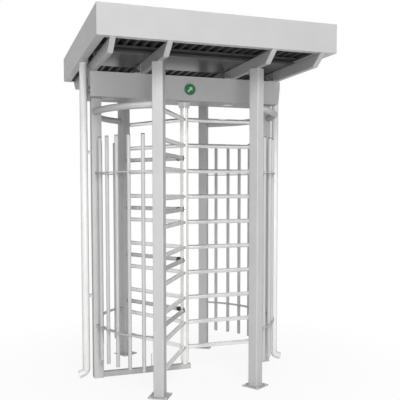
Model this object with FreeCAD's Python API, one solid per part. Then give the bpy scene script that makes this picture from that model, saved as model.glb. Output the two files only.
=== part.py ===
"""Full height turnstile with a box header, a three-wing rotor, a round cage and a flat canopy.

Millimetres. +Z is up, +Y goes from the front doorway to the rear one, +X is to the right.
The origin is on the floor, on the axis of the rotor.
"""
import FreeCAD
import Part
import math
import os

V = FreeCAD.Vector

# General fits
running_gap = 0.05
loose_gap = 0.3
hole_gap = 0.2

# Posts, on one circle around the rotor
post_circle = 690.0
corner_angle = 58.7
post_size = 75.0
post_wall = 3.0
post_cap = 5.0
post_round = 6.0
frame_height = 2285.0
plate_size = 140.0
plate_thick = 8.0
plate_round = 4.0
anchor_spacing = 110.0
anchor_hole = 14.0

# Top ring, cage rails and cage bars
ring_tube = 48.3
ring_wall = 2.9
ring_offset = 10.0
ring_drop = 100.0
rail_width = 38.0
rail_thick = 8.0
rail_low_rise = 252.0
rail_high_drop = 256.0
bar_tube = 26.9
bar_wall = 2.3
bar_bottom = 160.0
bar_ring_drop = 193.0
bar_edge = 4.0
bars_per_side = 5
drain_hole = 8.0

# Rotor
column_tube = 64.0
column_wall = 3.6
column_foot_rise = 24.0
arm_tube = 33.7
arm_wall = 2.6
arm_first = 175.0
arm_top_drop = 130.0
arms_per_wing = 10
wing_count = 3
wing_clear = 22.5
shaft_dia = 40.0
shaft_plug = 20.0
spigot_dia = 25.0

# Fixed combs on the closed side
comb_tube = 33.7
comb_wall = 2.6
comb_first_index = 1
comb_index_step = 2
comb_count = 4
comb_clear = 24.0
comb_cap_length = 16.0
comb_cap_rim = 1.2

# Floor sill, its stud and the foot bearing
sill_width = 40.0
sill_height = 40.0
sill_wall = 3.0
sill_round = 4.0
sill_overrun = 45.0
stud_x = -272.0
stud_dia = 10.0
stud_top = 145.0
stud_nut_width = 17.0
stud_nut_height = 8.0
cup_dia = 54.0
cup_floor = 4.0
cup_rim_gap = 2.0
bush_wall = 5.0

# Header box
header_overhang = 22.5
header_right_taper = 12.0
header_taper_drop = 53.0
header_depth = 300.0
header_height = 180.0
header_sheet = 3.0
cover_sheet = 2.0
cover_gap = 0.6
hinge_back = 10.0
hinge_up = 10.0
hinge_pin_dia = 8.0
knuckle_dia = 16.0
knuckle_length = 40.0
knuckle_count = 5
knuckle_pitch = 300.0
knuckle_web = 12.0
cover_lip = 20.0
cover_sweep_gap = 1.4

# Cover locks on the left end of the header
lock_dia = 22.0
lock_proud = 9.0
lock_low = 27.0
lock_pitch = 36.0
lock_back = 32.0
lock_spindle = 12.0
tongue_length = 20.0
tongue_width = 10.0
tongue_thick = 3.0
tab_reach = 16.0
key_slot_deep = 2.0
key_slot_length = 14.0
key_slot_width = 3.0

# Bearing plate and bearing in the header
bearing_plate_x = 420.0
bearing_plate_y = 240.0
bearing_plate_back = 12.0
bearing_plate_thick = 10.0
bearing_outer = 90.0
bearing_height = 20.0
cap_top_dia = 107.0
cap_drop = 42.0
cap_gap = 1.0
cap_wall = 4.0

# Index disc with its two lock pawls
disc_dia = 150.0
disc_thick = 12.0
disc_lift = 12.0
hub_wall = 8.0
notch_count = 12
notch_width = 18.0
notch_depth = 10.0
pawl_swing = 8.0
pawl_reach_x = 33.0
pawl_reach_y = 70.0
pawl_width = 16.0
pawl_tooth = 8.0
pawl_clear = 2.0
pawl_pin_dia = 10.0
pawl_pin_over = 4.0
pawl_push = 20.0
pawl_over = 10.0
plunger_dia = 10.0
plunger_gap = 0.5
plunger_back = 55.0
collar_height = 3.0
collar_length = 4.0
collar_back = 2.0
solenoid_size = 36.0
solenoid_length = 50.0
solenoid_off = 22.0

# Damper and its gears
gear_module = 2.0
gear_teeth = 84
pinion_teeth = 21
gear_thick = 12.0
gear_backlash = 0.3
gear_lift = 72.0
damper_dia = 50.0
damper_gap = 6.0
damper_spindle = 10.0
spindle_depth = 40.0

# Controller, lamps and indicator
controller_x = 450.0
controller_size = (200.0, 130.0, 60.0)
lid_height = 12.0
lid_groove = 2.0
lid_groove_deep = 1.5
gland_dia = 22.0
gland_length = 18.0
lamp_places = ((-608.0, -50.0), (360.0, 0.0))
lamp_dia = 80.0
lamp_flange = 4.0
lamp_flange_thick = 2.0
lamp_wall = 2.0
lamp_depth = 42.0
lamp_lens_up = 14.0
lamp_lens_thick = 3.0
indicator_drop = 98.0
indicator_dia = 86.0
indicator_rim = 5.0
indicator_proud = 7.0
indicator_lens_thick = 3.0
indicator_stem = 20.0
indicator_round = 2.0
arrow_length = 50.0
arrow_head = 40.0
arrow_shaft = 14.0
arrow_thick = 1.2

# Canopy
canopy_front = 894.0
canopy_rear = 894.0
fascia_height = 195.0
fascia_sheet = 2.0
fascia_return = 54.0
hem_width = 8.0
gutter_outer_gap = 11.0
gutter_inner_gap = 4.0
gutter_shelf = 54.0
outlet_margin = 12.0
gutter_upstand = 30.0
roof_arm_width = 36.0
roof_arm_height = 80.0
roof_arm_wall = 3.0
roof_arm_round = 4.0
roof_arm_inset = 3.0
roof_arm_cut = 115.0
roof_arm_outer_inset = 30.0
purlin_height = 50.0
purlin_width = 70.0
purlin_wall = 3.0
purlin_lip = 16.0
purlin_places = (-446.0, -6.0, 585.0)
soffit_sheet = 1.5
deck_pitch = 66.0
deck_rise = 34.0
deck_sheet = 1.5
deck_flat = 20.0
deck_edge = 6.0
deck_side_edge = 29.0
cleat_y = -210.0
cleat_thick = 4.0
cleat_foot = 60.0
bracket_setback = 5.0
bracket_length = 150.0
bracket_drop = 10.0
bracket_foot = 50.0
bracket_thick = 5.0

# Downpipes
pipe_dia = 56.0
pipe_wall = 2.0
pipe_gap = 2.0
pipe_y = 0.0
pipe_stub = 10.0
shoe_bend = 40.0
shoe_turn = 70.0
shoe_end = 30.0
shoe_lift = 4.0
clip_heights = (620.0, 1700.0)
clip_height = 22.0
clip_width = 24.0

# Places that follow from the sizes above
corner_x = post_circle * math.cos(math.radians(corner_angle))
header_end_x = post_circle + post_size / 2 + header_overhang
header_floor = frame_height - header_height
header_front = -header_depth / 2
header_back = header_depth / 2
header_inner_floor = header_floor + header_sheet
plate_top_in_header = header_inner_floor + bearing_plate_thick
ring_height = header_floor - ring_drop
bar_top = ring_height - bar_ring_drop
rail_low = bar_bottom + rail_low_rise
rail_high = bar_top - rail_high_drop
column_foot = sill_height + column_foot_rise
arm_pitch = (header_floor - arm_top_drop - arm_first) / (arms_per_wing - 1)
wing_radius = post_circle - post_size / 2 - wing_clear
comb_inner_radius = column_tube / 2 + comb_clear
damper_height = gear_lift - damper_gap
indicator_height = frame_height - indicator_drop
ring_circle = post_circle + ring_offset
pipe_line = header_end_x + pipe_gap + pipe_dia / 2
canopy_side = pipe_line + pipe_dia / 2 + gutter_outer_gap + fascia_sheet
outlet_width = 2 * fascia_sheet + gutter_outer_gap + pipe_dia + gutter_inner_gap
outlet_length = pipe_dia + 2 * outlet_margin
canopy_floor = frame_height + roof_arm_height
deck_floor = canopy_floor + purlin_height
outer_arm_x = header_end_x - roof_arm_outer_inset
bracket_front = header_front + bracket_setback
bracket_leg = roof_arm_height - bracket_drop
post_angles = {
    "right": 0.0,
    "rear_right": corner_angle,
    "rear_left": 180.0 - corner_angle,
    "left": 180.0,
    "front_left": 180.0 + corner_angle,
    "front_right": 360.0 - corner_angle,
}
corner_names = ("front_left", "front_right", "rear_left", "rear_right")


def on_circle(angle, radius=post_circle, z=0.0):
    """Point on a circle around the rotor axis."""
    a = math.radians(angle)
    return V(radius * math.cos(a), radius * math.sin(a), z)


def box(x0, x1, y0, y1, z0, z1):
    """Box between two values on each axis."""
    return Part.makeBox(x1 - x0, y1 - y0, z1 - z0, V(x0, y0, z0))


def rod(radius, start, end):
    """Round bar between two points."""
    along = end - start
    return Part.makeCylinder(radius, along.Length, start, along)


def pipe(outer, wall, start, end):
    """Open tube between two points, from its outer diameter and wall."""
    return rod(outer / 2, start, end).cut(rod(outer / 2 - wall, start, end))


def prism(points, along):
    """Closed outline of points, pushed along a vector."""
    face = Part.Face(Part.makePolygon(points + [points[0]]))
    return face.extrude(along)


def turned(shape, angle, centre=V(0, 0, 0)):
    """Copy of a shape, turned about an upright axis."""
    copy = shape.copy()
    copy.rotate(centre, V(0, 0, 1), angle)
    return copy


def fused(shapes):
    """One solid from touching or overlapping shapes."""
    return shapes[0].multiFuse(shapes[1:]).removeSplitter()


def group(shapes):
    """Separate solids that share one node."""
    return Part.makeCompound(shapes)


def eased(shape, radius, shortest):
    """Shape with its long straight edges rounded."""
    long_edges = [e for e in shape.Edges if e.Length >= shortest and e.Curve.TypeId == "Part::GeomLine"]
    return shape.makeFillet(radius, long_edges)


def post_block(angle, grow=0.0, height=frame_height):
    """Solid outline of a post, square on to the rotor axis."""
    half = post_size / 2 + grow
    block = box(post_circle - half, post_circle + half, -half, half, 0, height)
    return turned(block, angle)


def all_post_blocks(grow=0.0):
    """Solid outlines of the six posts, to trim what meets them."""
    return [post_block(angle, grow) for angle in post_angles.values()]


def make_post(angle, top):
    """Square tube with a closed top, standing on its base plate."""
    half = post_size / 2
    inner = half - post_wall
    outside = box(-half, half, -half, half, plate_thick, top)
    outside = eased(outside, post_round, top - 2 * plate_thick)
    inside = box(-inner, inner, -inner, inner, plate_thick, top - post_cap)
    inside = eased(inside, max(post_round - post_wall, post_wall / 2), top - 2 * plate_thick - post_cap)
    post = outside.cut(inside)
    post.translate(V(post_circle, 0, 0))
    return turned(post, angle)


def make_corner_plate(angle):
    """Base plate with four anchor holes, square on to the rotor axis."""
    half = plate_size / 2
    plate = box(-half, half, -half, half, 0, plate_thick)
    plate = plate.makeFillet(plate_round, [e for e in plate.Edges if abs(e.Length - plate_thick) < 0.001])
    for sx in (-1, 1):
        for sy in (-1, 1):
            place = V(sx * anchor_spacing / 2, sy * anchor_spacing / 2, 0)
            plate = plate.cut(rod(anchor_hole / 2, place, place + V(0, 0, plate_thick)))
    plate.translate(V(post_circle, 0, 0))
    return turned(plate, angle)


def make_flush_plate(angle):
    """Foot plate of the two side posts, as wide as the post."""
    half = post_size / 2
    plate = box(post_circle - half, post_circle + half, -half, half, 0, plate_thick)
    plate = plate.makeFillet(post_round, [e for e in plate.Edges if abs(e.Length - plate_thick) < 0.001])
    return turned(plate, angle)


def side_spans(side):
    """The two arcs of one side, from post to post, as start angle and sweep."""
    if side == "left":
        first = post_angles["rear_left"]
    else:
        first = -corner_angle
    return [(first, corner_angle), (first + corner_angle, corner_angle)]


def arc_solid(profile, start, sweep):
    """Face in the XZ plane, swept around the rotor axis."""
    solid = profile.revolve(V(0, 0, 0), V(0, 0, 1), sweep)
    return turned(solid, start)


def trimmed(shape):
    """What is left of a shape between the posts."""
    return shape.cut(Part.makeCompound(all_post_blocks())).Solids[0]


def make_ring(side):
    """Round tube arcs of the top ring on one side."""
    centre = V(ring_circle, 0, ring_height)
    outer = Part.Face(Part.Wire(Part.makeCircle(ring_tube / 2, centre, V(0, 1, 0))))
    inner = Part.Face(Part.Wire(Part.makeCircle(ring_tube / 2 - ring_wall, centre, V(0, 1, 0))))
    wall = outer.cut(inner).Faces[0]
    return group([trimmed(arc_solid(wall, start, sweep)) for start, sweep in side_spans(side)])


def bar_angles(side):
    """Angles of the cage bars of one side, evenly spaced between the posts."""
    angles = []
    for start, sweep in side_spans(side):
        for i in range(bars_per_side):
            angles.append(start + sweep * (i + 1) / (bars_per_side + 1))
    return angles


def make_bar(angle):
    """Upright tube with closed, eased ends and a drain hole at its foot."""
    radius = bar_tube / 2
    length = bar_top - bar_bottom
    outside = Part.makeCylinder(radius, length, V(0, 0, bar_bottom))
    ends = [e for e in outside.Edges if len(e.Vertexes) == 1]
    outside = outside.makeFillet(bar_edge, ends)
    inside = Part.makeCylinder(radius - bar_wall, length - 2 * bar_edge, V(0, 0, bar_bottom + bar_edge))
    drain = Part.makeCylinder(drain_hole / 2, 2 * bar_edge, V(0, 0, bar_bottom - bar_edge / 2))
    bar = outside.cut(inside).cut(drain)
    bar.translate(on_circle(angle))
    return bar


def make_bars(side):
    """The cage bars of one side."""
    return group([make_bar(angle) for angle in bar_angles(side)])


def make_rails(side):
    """Flat arcs at two heights, with holes that the bars pass through."""
    half = rail_width / 2
    holes = []
    for angle in bar_angles(side):
        foot = on_circle(angle, z=rail_low - rail_thick)
        head = on_circle(angle, z=rail_high + rail_thick)
        holes.append(rod(bar_tube / 2 + hole_gap, foot, head))
    cutter = Part.makeCompound(holes)
    rails = []
    for height in (rail_low, rail_high):
        z0 = height - rail_thick / 2
        z1 = height + rail_thick / 2
        inner = post_circle - half
        outer = post_circle + half
        corners = [V(inner, 0, z0), V(outer, 0, z0), V(outer, 0, z1), V(inner, 0, z1)]
        face = Part.Face(Part.makePolygon(corners + [corners[0]]))
        for start, sweep in side_spans(side):
            rails.append(trimmed(arc_solid(face, start, sweep)).cut(cutter).Solids[0])
    return group(rails)


def round_ended_tube(dia, wall, start_radius, end_radius, angle, height):
    """Level tube that runs out from the rotor axis and ends in a half ball."""
    radius = dia / 2
    centre_end = on_circle(angle, end_radius - radius, height)
    start = on_circle(angle, start_radius, height)
    outside = rod(radius, start, centre_end).fuse(Part.makeSphere(radius, centre_end))
    inside = rod(radius - wall, start, centre_end)
    return outside.cut(inside)


def make_wing(angle):
    """Level arms of one wing, cut to sit on the round column."""
    column = rod(column_tube / 2, V(0, 0, 0), V(0, 0, frame_height))
    arms = []
    for i in range(arms_per_wing):
        height = arm_first + i * arm_pitch
        arm = round_ended_tube(arm_tube, arm_wall, 1.0, wing_radius, angle, height)
        arms.append(arm.cut(column).Solids[0])
    return group(arms)


def make_column():
    """Column tube with its foot spigot, and the shaft that turns in the header."""
    top = header_floor - cap_gap
    tube = pipe(column_tube, column_wall, V(0, 0, column_foot), V(0, 0, top))
    inner = column_tube / 2 - column_wall
    foot = rod(inner, V(0, 0, column_foot), V(0, 0, column_foot + shaft_plug))
    head = rod(inner, V(0, 0, top - shaft_plug), V(0, 0, top))
    spigot_end = sill_height + cup_floor + loose_gap
    spigot = rod(spigot_dia / 2, V(0, 0, spigot_end), V(0, 0, column_foot + shaft_plug))
    shaft_top = plate_top_in_header + gear_lift + gear_thick + disc_lift
    shaft = rod(shaft_dia / 2, V(0, 0, top - shaft_plug), V(0, 0, shaft_top))
    return fused([tube, foot, head, spigot, shaft])


def comb_heights():
    """Heights of the comb tubes, midway between arms of the rotor."""
    heights = []
    for i in range(comb_count):
        bay = comb_first_index + i * comb_index_step
        heights.append(arm_first + (bay + 0.5) * arm_pitch)
    return heights


def make_comb(angle):
    """Level tubes from a post towards the rotor column."""
    block = post_block(angle)
    tubes = []
    for height in comb_heights():
        start = on_circle(angle, comb_inner_radius + comb_cap_length, height)
        end = on_circle(angle, post_circle, height)
        tubes.append(pipe(comb_tube, comb_wall, start, end).cut(block).Solids[0])
    return group(tubes)


def make_comb_caps():
    """Plastic caps on the free ends of the comb tubes."""
    caps = []
    for name in ("front_left", "rear_left"):
        angle = post_angles[name]
        for height in comb_heights():
            tip = on_circle(angle, comb_inner_radius, height)
            seat = on_circle(angle, comb_inner_radius + comb_cap_length, height)
            head = rod(comb_tube / 2 + comb_cap_rim, tip, seat)
            plug_end = on_circle(angle, comb_inner_radius + 2 * comb_cap_length, height)
            plug = rod(comb_tube / 2 - comb_wall - hole_gap, seat, plug_end)
            caps.append(fused([head, plug]))
    return group(caps)


def make_sill():
    """Square tube on the floor from the left post to just past the rotor axis."""
    half = sill_width / 2
    start = -post_circle + post_size / 2
    end = sill_overrun
    outside = eased(box(start, end, -half, half, 0, sill_height), sill_round, end - start)
    inner = half - sill_wall
    inside = box(start, end - sill_wall, -inner, inner, sill_wall, sill_height - sill_wall)
    sill = outside.cut(inside)
    hole = rod(stud_dia / 2 + hole_gap, V(stud_x, 0, 0), V(stud_x, 0, sill_height))
    return sill.cut(hole)


def hex_outline(width, x, y, z):
    """Corners of a hexagon from its width across flats."""
    radius = width / math.sqrt(3)
    corners = []
    for i in range(6):
        a = math.radians(60 * i)
        corners.append(V(x + radius * math.cos(a), y + radius * math.sin(a), z))
    return corners


def make_sill_stud():
    """Floor stud through the sill, with its nut."""
    stud = rod(stud_dia / 2, V(stud_x, 0, 0), V(stud_x, 0, stud_top))
    nut = prism(hex_outline(stud_nut_width, stud_x, 0, sill_height), V(0, 0, stud_nut_height))
    nut = nut.cut(rod(stud_dia / 2 + hole_gap, V(stud_x, 0, 0), V(stud_x, 0, stud_top)))
    return group([stud, nut])


def make_foot_cup():
    """Cup on the sill that holds the foot bush."""
    rim = column_foot - cup_rim_gap
    bore = spigot_dia / 2 + running_gap + bush_wall
    cup = rod(cup_dia / 2, V(0, 0, sill_height), V(0, 0, rim))
    return cup.cut(rod(bore, V(0, 0, sill_height + cup_floor), V(0, 0, rim)))


def make_foot_bush():
    """Bronze bush between the cup and the spigot of the column."""
    bore = spigot_dia / 2 + running_gap
    floor = sill_height + cup_floor
    rim = column_foot - cup_rim_gap
    return pipe(2 * (bore + bush_wall), bush_wall, V(0, 0, floor), V(0, 0, rim))


def header_outline(inset_x, inset_z, y):
    """Front view of the header, straight on the left and drawn in on the right."""
    bottom = header_floor + inset_z
    top = frame_height - inset_z
    knee = frame_height - header_taper_drop
    slope = header_right_taper / (knee - header_floor)
    left = -header_end_x + inset_x
    right = header_end_x - inset_x
    right_foot = header_end_x - header_right_taper - inset_x + slope * inset_z
    corners = [(left, bottom), (right_foot, bottom), (right, knee), (right, top), (left, top)]
    return [V(x, y, z) for x, z in corners]


def header_prism(inset_x, inset_z, y0, y1):
    """Header outline from one Y value to another."""
    return prism(header_outline(inset_x, inset_z, y0), V(0, y1 - y0, 0))


def hinge_axis(x):
    """Point on the axis of the cover's hinge."""
    return V(x, header_front + hinge_back, header_floor + hinge_up)


def header_bottom_holes():
    """Holes in the header floor for the shaft and the lamps."""
    floor = header_floor - header_sheet
    roof = header_floor + 2 * header_sheet
    holes = [rod(shaft_dia / 2 + cap_gap, V(0, 0, floor), V(0, 0, roof))]
    for x, y in lamp_places:
        holes.append(rod(lamp_dia / 2, V(x, y, floor), V(x, y, roof)))
    return Part.makeCompound(holes)


def shell_front_edge():
    """Y of the header floor's front edge, clear of the swinging cover lip."""
    reach = math.hypot(cover_lip - hinge_back + cover_sheet, hinge_up)
    return header_front + hinge_back + reach + cover_sweep_gap


def make_header_shell():
    """Floor, back and top of the header, bent from one sheet."""
    t = header_sheet
    body = header_prism(t, 0, header_front + cover_sheet + cover_gap, header_back)
    hollow = header_prism(t, t, header_front, header_back - t)
    shell = body.cut(hollow)
    slot = box(-header_end_x, header_end_x, header_front, shell_front_edge(),
               header_floor, header_inner_floor)
    return shell.cut(slot).cut(header_bottom_holes()).Solids[0]


def make_header_end(side):
    """End plate of the header; the left one holds the cover locks."""
    t = header_sheet
    y0 = header_front + cover_sheet + cover_gap
    ring = header_prism(0, 0, y0, header_back).cut(header_prism(t, 0, y0, header_back))
    if side == "left":
        end = min(ring.Solids, key=lambda s: s.CenterOfMass.x)
        for z in lock_heights():
            centre = V(-header_end_x, header_front + lock_back, z)
            end = end.cut(rod(lock_spindle / 2 + running_gap, centre, centre + V(t, 0, 0)))
    else:
        end = max(ring.Solids, key=lambda s: s.CenterOfMass.x)
    pin = rod(hinge_pin_dia / 2, hinge_axis(-header_end_x), hinge_axis(header_end_x))
    return end.cut(pin)


def make_hinge_pin():
    """Long rod between the end plates, on which the front cover swings."""
    return rod(hinge_pin_dia / 2, hinge_axis(-header_end_x), hinge_axis(header_end_x)).common(
        header_prism(0, 0, header_front, header_back))


def lock_heights():
    """Heights of the two cover locks."""
    return [header_floor + lock_low + i * lock_pitch for i in range(2)]


def make_cover_sheet():
    """Front sheet with a lip under the header, drawn in at the hinge to clear the end plates."""
    t = header_sheet + cover_gap
    front = header_front
    back = front + cover_sheet
    relief = header_floor + hinge_up + hinge_back
    wide = header_prism(0, 0, front, back)
    wide = wide.common(box(-header_end_x, header_end_x, front, back, relief, frame_height - cover_gap))
    narrow = header_prism(t, 0, front, back)
    right = header_end_x - header_right_taper - t
    narrow = narrow.common(box(-header_end_x, right, front, back, header_floor, relief))
    lip = box(t + tab_reach - header_end_x, right, front, back + cover_lip,
              header_floor, header_floor + cover_sheet)
    middle = V(0, front - 1, indicator_height)
    hole = rod(indicator_dia / 2 - 2 * indicator_rim, middle, middle + V(0, cover_sheet + 2, 0))
    return fused([wide, narrow, lip]).cut(hole)


def make_knuckle(x):
    """Hinge knuckle on the back of the cover sheet, bored for the pin."""
    start = hinge_axis(x - knuckle_length / 2)
    end = hinge_axis(x + knuckle_length / 2)
    eye = rod(knuckle_dia / 2, start, end)
    half = knuckle_web / 2
    web = box(start.x, end.x, header_front + cover_sheet, start.y, start.z - half, start.z + half)
    room = box(start.x, end.x, header_front + cover_sheet, header_back,
               header_floor + cover_sheet, frame_height)
    bore = rod(hinge_pin_dia / 2 + running_gap, start, end)
    return fused([eye, web]).common(room).cut(bore).Solids[0]


def make_lock_tab(z):
    """Angle on the back of the cover sheet that the tongue of a lock catches."""
    x0 = -header_end_x + header_sheet + cover_gap
    back = header_front + lock_back + tongue_width / 2 + cover_gap
    z0 = z + lock_spindle / 2 + cover_gap
    z1 = z + tongue_length
    leg = box(x0, x0 + cover_sheet, header_front + cover_sheet, back + cover_sheet, z0, z1)
    catch = box(x0, x0 + tab_reach, back, back + cover_sheet, z0, z1)
    return fused([leg, catch])


def make_front_cover():
    """Front cover of the header with its hinge knuckles and lock tabs."""
    parts = [make_cover_sheet()]
    for i in range(knuckle_count):
        parts.append(make_knuckle((i - (knuckle_count - 1) / 2) * knuckle_pitch))
    return group(parts + [make_lock_tab(z) for z in lock_heights()])


def make_cover_lock(z):
    """Quarter-turn lock, shown open: round head outside, spindle, and a tongue inside."""
    wall = -header_end_x
    y = header_front + lock_back
    head = rod(lock_dia / 2, V(wall - lock_proud, y, z), V(wall - loose_gap, y, z))
    slot_x = wall - lock_proud
    slot = box(slot_x, slot_x + key_slot_deep, y - key_slot_length / 2, y + key_slot_length / 2,
               z - key_slot_width / 2, z + key_slot_width / 2)
    inner = wall + header_sheet + cover_gap + cover_sheet + cover_gap
    spindle = rod(lock_spindle / 2, V(wall - loose_gap - 1, y, z), V(inner + tongue_thick, y, z))
    half = tongue_width / 2
    tongue = box(inner, inner + tongue_thick, y - tongue_length, y, z - half, z + half)
    return fused([head.cut(slot), spindle, tongue])


def make_bearing_plate():
    """Thick plate on the header floor, with the pivot pins of the pawls."""
    half_x = bearing_plate_x / 2
    y0 = -bearing_plate_y / 2 + bearing_plate_back
    y1 = bearing_plate_y / 2 + bearing_plate_back
    plate = box(-half_x, half_x, y0, y1, header_inner_floor, plate_top_in_header)
    plate = plate.cut(rod(shaft_dia / 2 + cap_gap, V(0, 0, header_floor), V(0, 0, plate_top_in_header)))
    pins = []
    for turn in (0, 180):
        pivot = pawl_pivot()
        pin = rod(pawl_pin_dia / 2, V(pivot.x, pivot.y, plate_top_in_header - 1),
                  V(pivot.x, pivot.y, disc_floor() + disc_thick + pawl_pin_over))
        pins.append(turned(pin, turn))
    return fused([plate] + pins)


def make_top_bearing():
    """Ball bearing of the rotor shaft, on the bearing plate."""
    z0 = plate_top_in_header
    bore = shaft_dia / 2 + running_gap
    ring = rod(bearing_outer / 2, V(0, 0, z0), V(0, 0, z0 + bearing_height))
    return ring.cut(rod(bore, V(0, 0, z0), V(0, 0, z0 + bearing_height)))


def make_bearing_cap():
    """Cone under the header that covers the gap around the column."""
    top = header_floor
    low = top - cap_drop
    inner = column_tube / 2 + cap_gap
    rim = inner + cap_wall
    outline = [V(inner, 0, low), V(rim, 0, low), V(cap_top_dia / 2, 0, top), V(inner, 0, top)]
    face = Part.Face(Part.makePolygon(outline + [outline[0]]))
    return face.revolve(V(0, 0, 0), V(0, 0, 1), 360)


def shaft_hole():
    """Bore of the pieces that sit on the rotor shaft."""
    return rod(shaft_dia / 2 + running_gap, V(0, 0, header_floor), V(0, 0, frame_height))


def disc_floor():
    """Underside of the index disc."""
    return plate_top_in_header + bearing_height + disc_lift


def make_index_disc():
    """Disc on the shaft with notches that the pawls drop into."""
    z0 = disc_floor()
    disc = rod(disc_dia / 2, V(0, 0, z0), V(0, 0, z0 + disc_thick))
    hub_floor = plate_top_in_header + bearing_height + loose_gap
    hub = rod(shaft_dia / 2 + hub_wall, V(0, 0, hub_floor), V(0, 0, z0))
    disc = disc.fuse(hub)
    bottom = disc_dia / 2 - notch_depth
    notch = box(bottom, disc_dia, -notch_width / 2, notch_width / 2, z0, z0 + disc_thick)
    notches = [turned(notch, 360 * i / notch_count) for i in range(notch_count)]
    disc = disc.cut(Part.makeCompound(notches))
    return disc.cut(shaft_hole())


def pawl_pivot():
    """Pivot of the left pawl, set so that its tooth ends square in the notch."""
    swing = math.radians(pawl_swing)
    shift = pawl_reach_y * math.cos(swing) - pawl_reach_x * math.sin(swing)
    return V(-disc_dia / 2 - pawl_clear - pawl_reach_x, -shift, 0)


def make_pawl(turn):
    """Lever with a tooth that swings into the index disc."""
    pivot = pawl_pivot()
    z0 = disc_floor()
    half = pawl_width / 2
    eye = rod(half, V(pivot.x, pivot.y, z0), V(pivot.x, pivot.y, z0 + disc_thick))
    end_y = pivot.y + pawl_reach_y + pawl_push + pawl_over
    lever = box(pivot.x - half, pivot.x + half, pivot.y, end_y, z0, z0 + disc_thick)
    tooth_y = pivot.y + pawl_reach_y
    tip = -disc_dia / 2 - pawl_clear
    tooth = box(pivot.x, tip, tooth_y - pawl_tooth / 2, tooth_y + pawl_tooth / 2, z0, z0 + disc_thick)
    pawl = fused([eye, lever, tooth])
    bore_end = V(pivot.x, pivot.y, z0 + disc_thick)
    return turned(pawl.cut(rod(pawl_pin_dia / 2 + running_gap, V(pivot.x, pivot.y, z0), bore_end)), turn)


def plunger_line():
    """X where the left plunger meets its pawl, and its Y and Z."""
    pivot = pawl_pivot()
    y = pivot.y + pawl_reach_y + pawl_push
    return V(pivot.x - pawl_width / 2 - plunger_gap, y, disc_floor() + disc_thick / 2)


def make_plunger(turn):
    """Steel plunger that pushes the pawl, with a collar as its stop."""
    tip = plunger_line()
    body = rod(plunger_dia / 2, tip - V(plunger_back, 0, 0), tip)
    collar_end = tip - V(collar_back, 0, 0)
    collar = rod(plunger_dia / 2 + collar_height, collar_end - V(collar_length, 0, 0), collar_end)
    return turned(fused([body, collar]), turn)


def make_solenoids():
    """Two coil housings, each bored for its plunger, on feet on the bearing plate."""
    tip = plunger_line()
    half = solenoid_size / 2
    x1 = tip.x - solenoid_off
    x0 = x1 - solenoid_length
    coil = box(x0, x1, tip.y - half, tip.y + half, tip.z - half, tip.z + half)
    foot = box(x0, x1, tip.y - half / 2, tip.y + half / 2, plate_top_in_header, tip.z - half)
    solenoid = fused([coil, foot])
    bore_start = V(x0, tip.y, tip.z)
    solenoid = solenoid.cut(rod(plunger_dia / 2 + running_gap, bore_start, V(x1, tip.y, tip.z)))
    return group([turned(solenoid, turn) for turn in (0, 180)])


def involute(angle):
    """Involute function of a pressure angle in radians."""
    return math.tan(angle) - angle


def gear_outline(teeth, phase, z):
    """Corners of a spur gear with involute flanks, a tooth centred on the phase angle."""
    pressure = math.radians(20)
    pitch_radius = gear_module * teeth / 2
    base = pitch_radius * math.cos(pressure)
    tip = pitch_radius + gear_module
    root = pitch_radius - 1.25 * gear_module
    half_tooth = math.pi / (2 * teeth) - gear_backlash / (2 * pitch_radius)
    low = max(base, root)
    flank = []
    for i in range(5):
        r = low + (tip - low) * i / 4
        grip = math.acos(min(1.0, base / r))
        flank.append((r, half_tooth + involute(pressure) - involute(grip)))
    if root < base:
        flank.insert(0, (root, flank[0][1]))
    corners = []
    for k in range(teeth):
        centre = math.radians(phase) + 2 * math.pi * k / teeth
        for r, a in flank:
            corners.append(V(r * math.cos(centre - a), r * math.sin(centre - a), z))
        for r, a in reversed(flank):
            corners.append(V(r * math.cos(centre + a), r * math.sin(centre + a), z))
    return corners


def gear_floor():
    """Underside of the two gears."""
    return plate_top_in_header + gear_lift


def gear_distance():
    """Centre distance of the gear and the pinion."""
    return gear_module * (gear_teeth + pinion_teeth) / 2


def make_drive_gear():
    """Large gear on the rotor shaft, with a hub down to the index disc."""
    z0 = gear_floor()
    gear = prism(gear_outline(gear_teeth, 90, z0), V(0, 0, gear_thick))
    hub = rod(shaft_dia / 2 + hub_wall, V(0, 0, disc_floor() + disc_thick), V(0, 0, z0))
    gear = gear.fuse(hub)
    return gear.cut(shaft_hole())


def make_damper_pinion():
    """Pinion with the spindle that turns in the damper."""
    z0 = gear_floor()
    outline = gear_outline(pinion_teeth, -90 + 180 / pinion_teeth, z0)
    pinion = prism(outline, V(0, 0, gear_thick))
    spindle = rod(damper_spindle / 2, V(0, 0, z0 - spindle_depth), V(0, 0, z0 + gear_thick))
    pinion = pinion.fuse(spindle).removeSplitter()
    pinion.translate(V(0, gear_distance(), 0))
    return pinion


def make_damper_body():
    """Round oil damper that slows the rotor near its rest position."""
    y = gear_distance()
    z0 = plate_top_in_header
    body = rod(damper_dia / 2, V(0, y, z0), V(0, y, z0 + damper_height))
    bore = rod(damper_spindle / 2 + running_gap, V(0, y, gear_floor() - spindle_depth - 1),
               V(0, y, z0 + damper_height))
    return body.cut(bore)


def make_controller():
    """Control box on the header floor, with a lid line and a cable gland."""
    long, deep, high = controller_size
    x0 = controller_x
    x1 = controller_x + long
    z0 = header_inner_floor
    z1 = z0 + high
    body = box(x0, x1, -deep / 2, deep / 2, z0, z1)
    cut = lid_groove_deep
    core = box(x0 + cut, x1 - cut, cut - deep / 2, deep / 2 - cut, z0, z1)
    lid_line = box(x0, x1, -deep / 2, deep / 2, z1 - lid_height - lid_groove, z1 - lid_height)
    middle = V(x0, 0, z0 + high / 2)
    gland = rod(gland_dia / 2, middle - V(gland_length, 0, 0), middle)
    return fused([body.cut(lid_line.cut(core)), gland])


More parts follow.
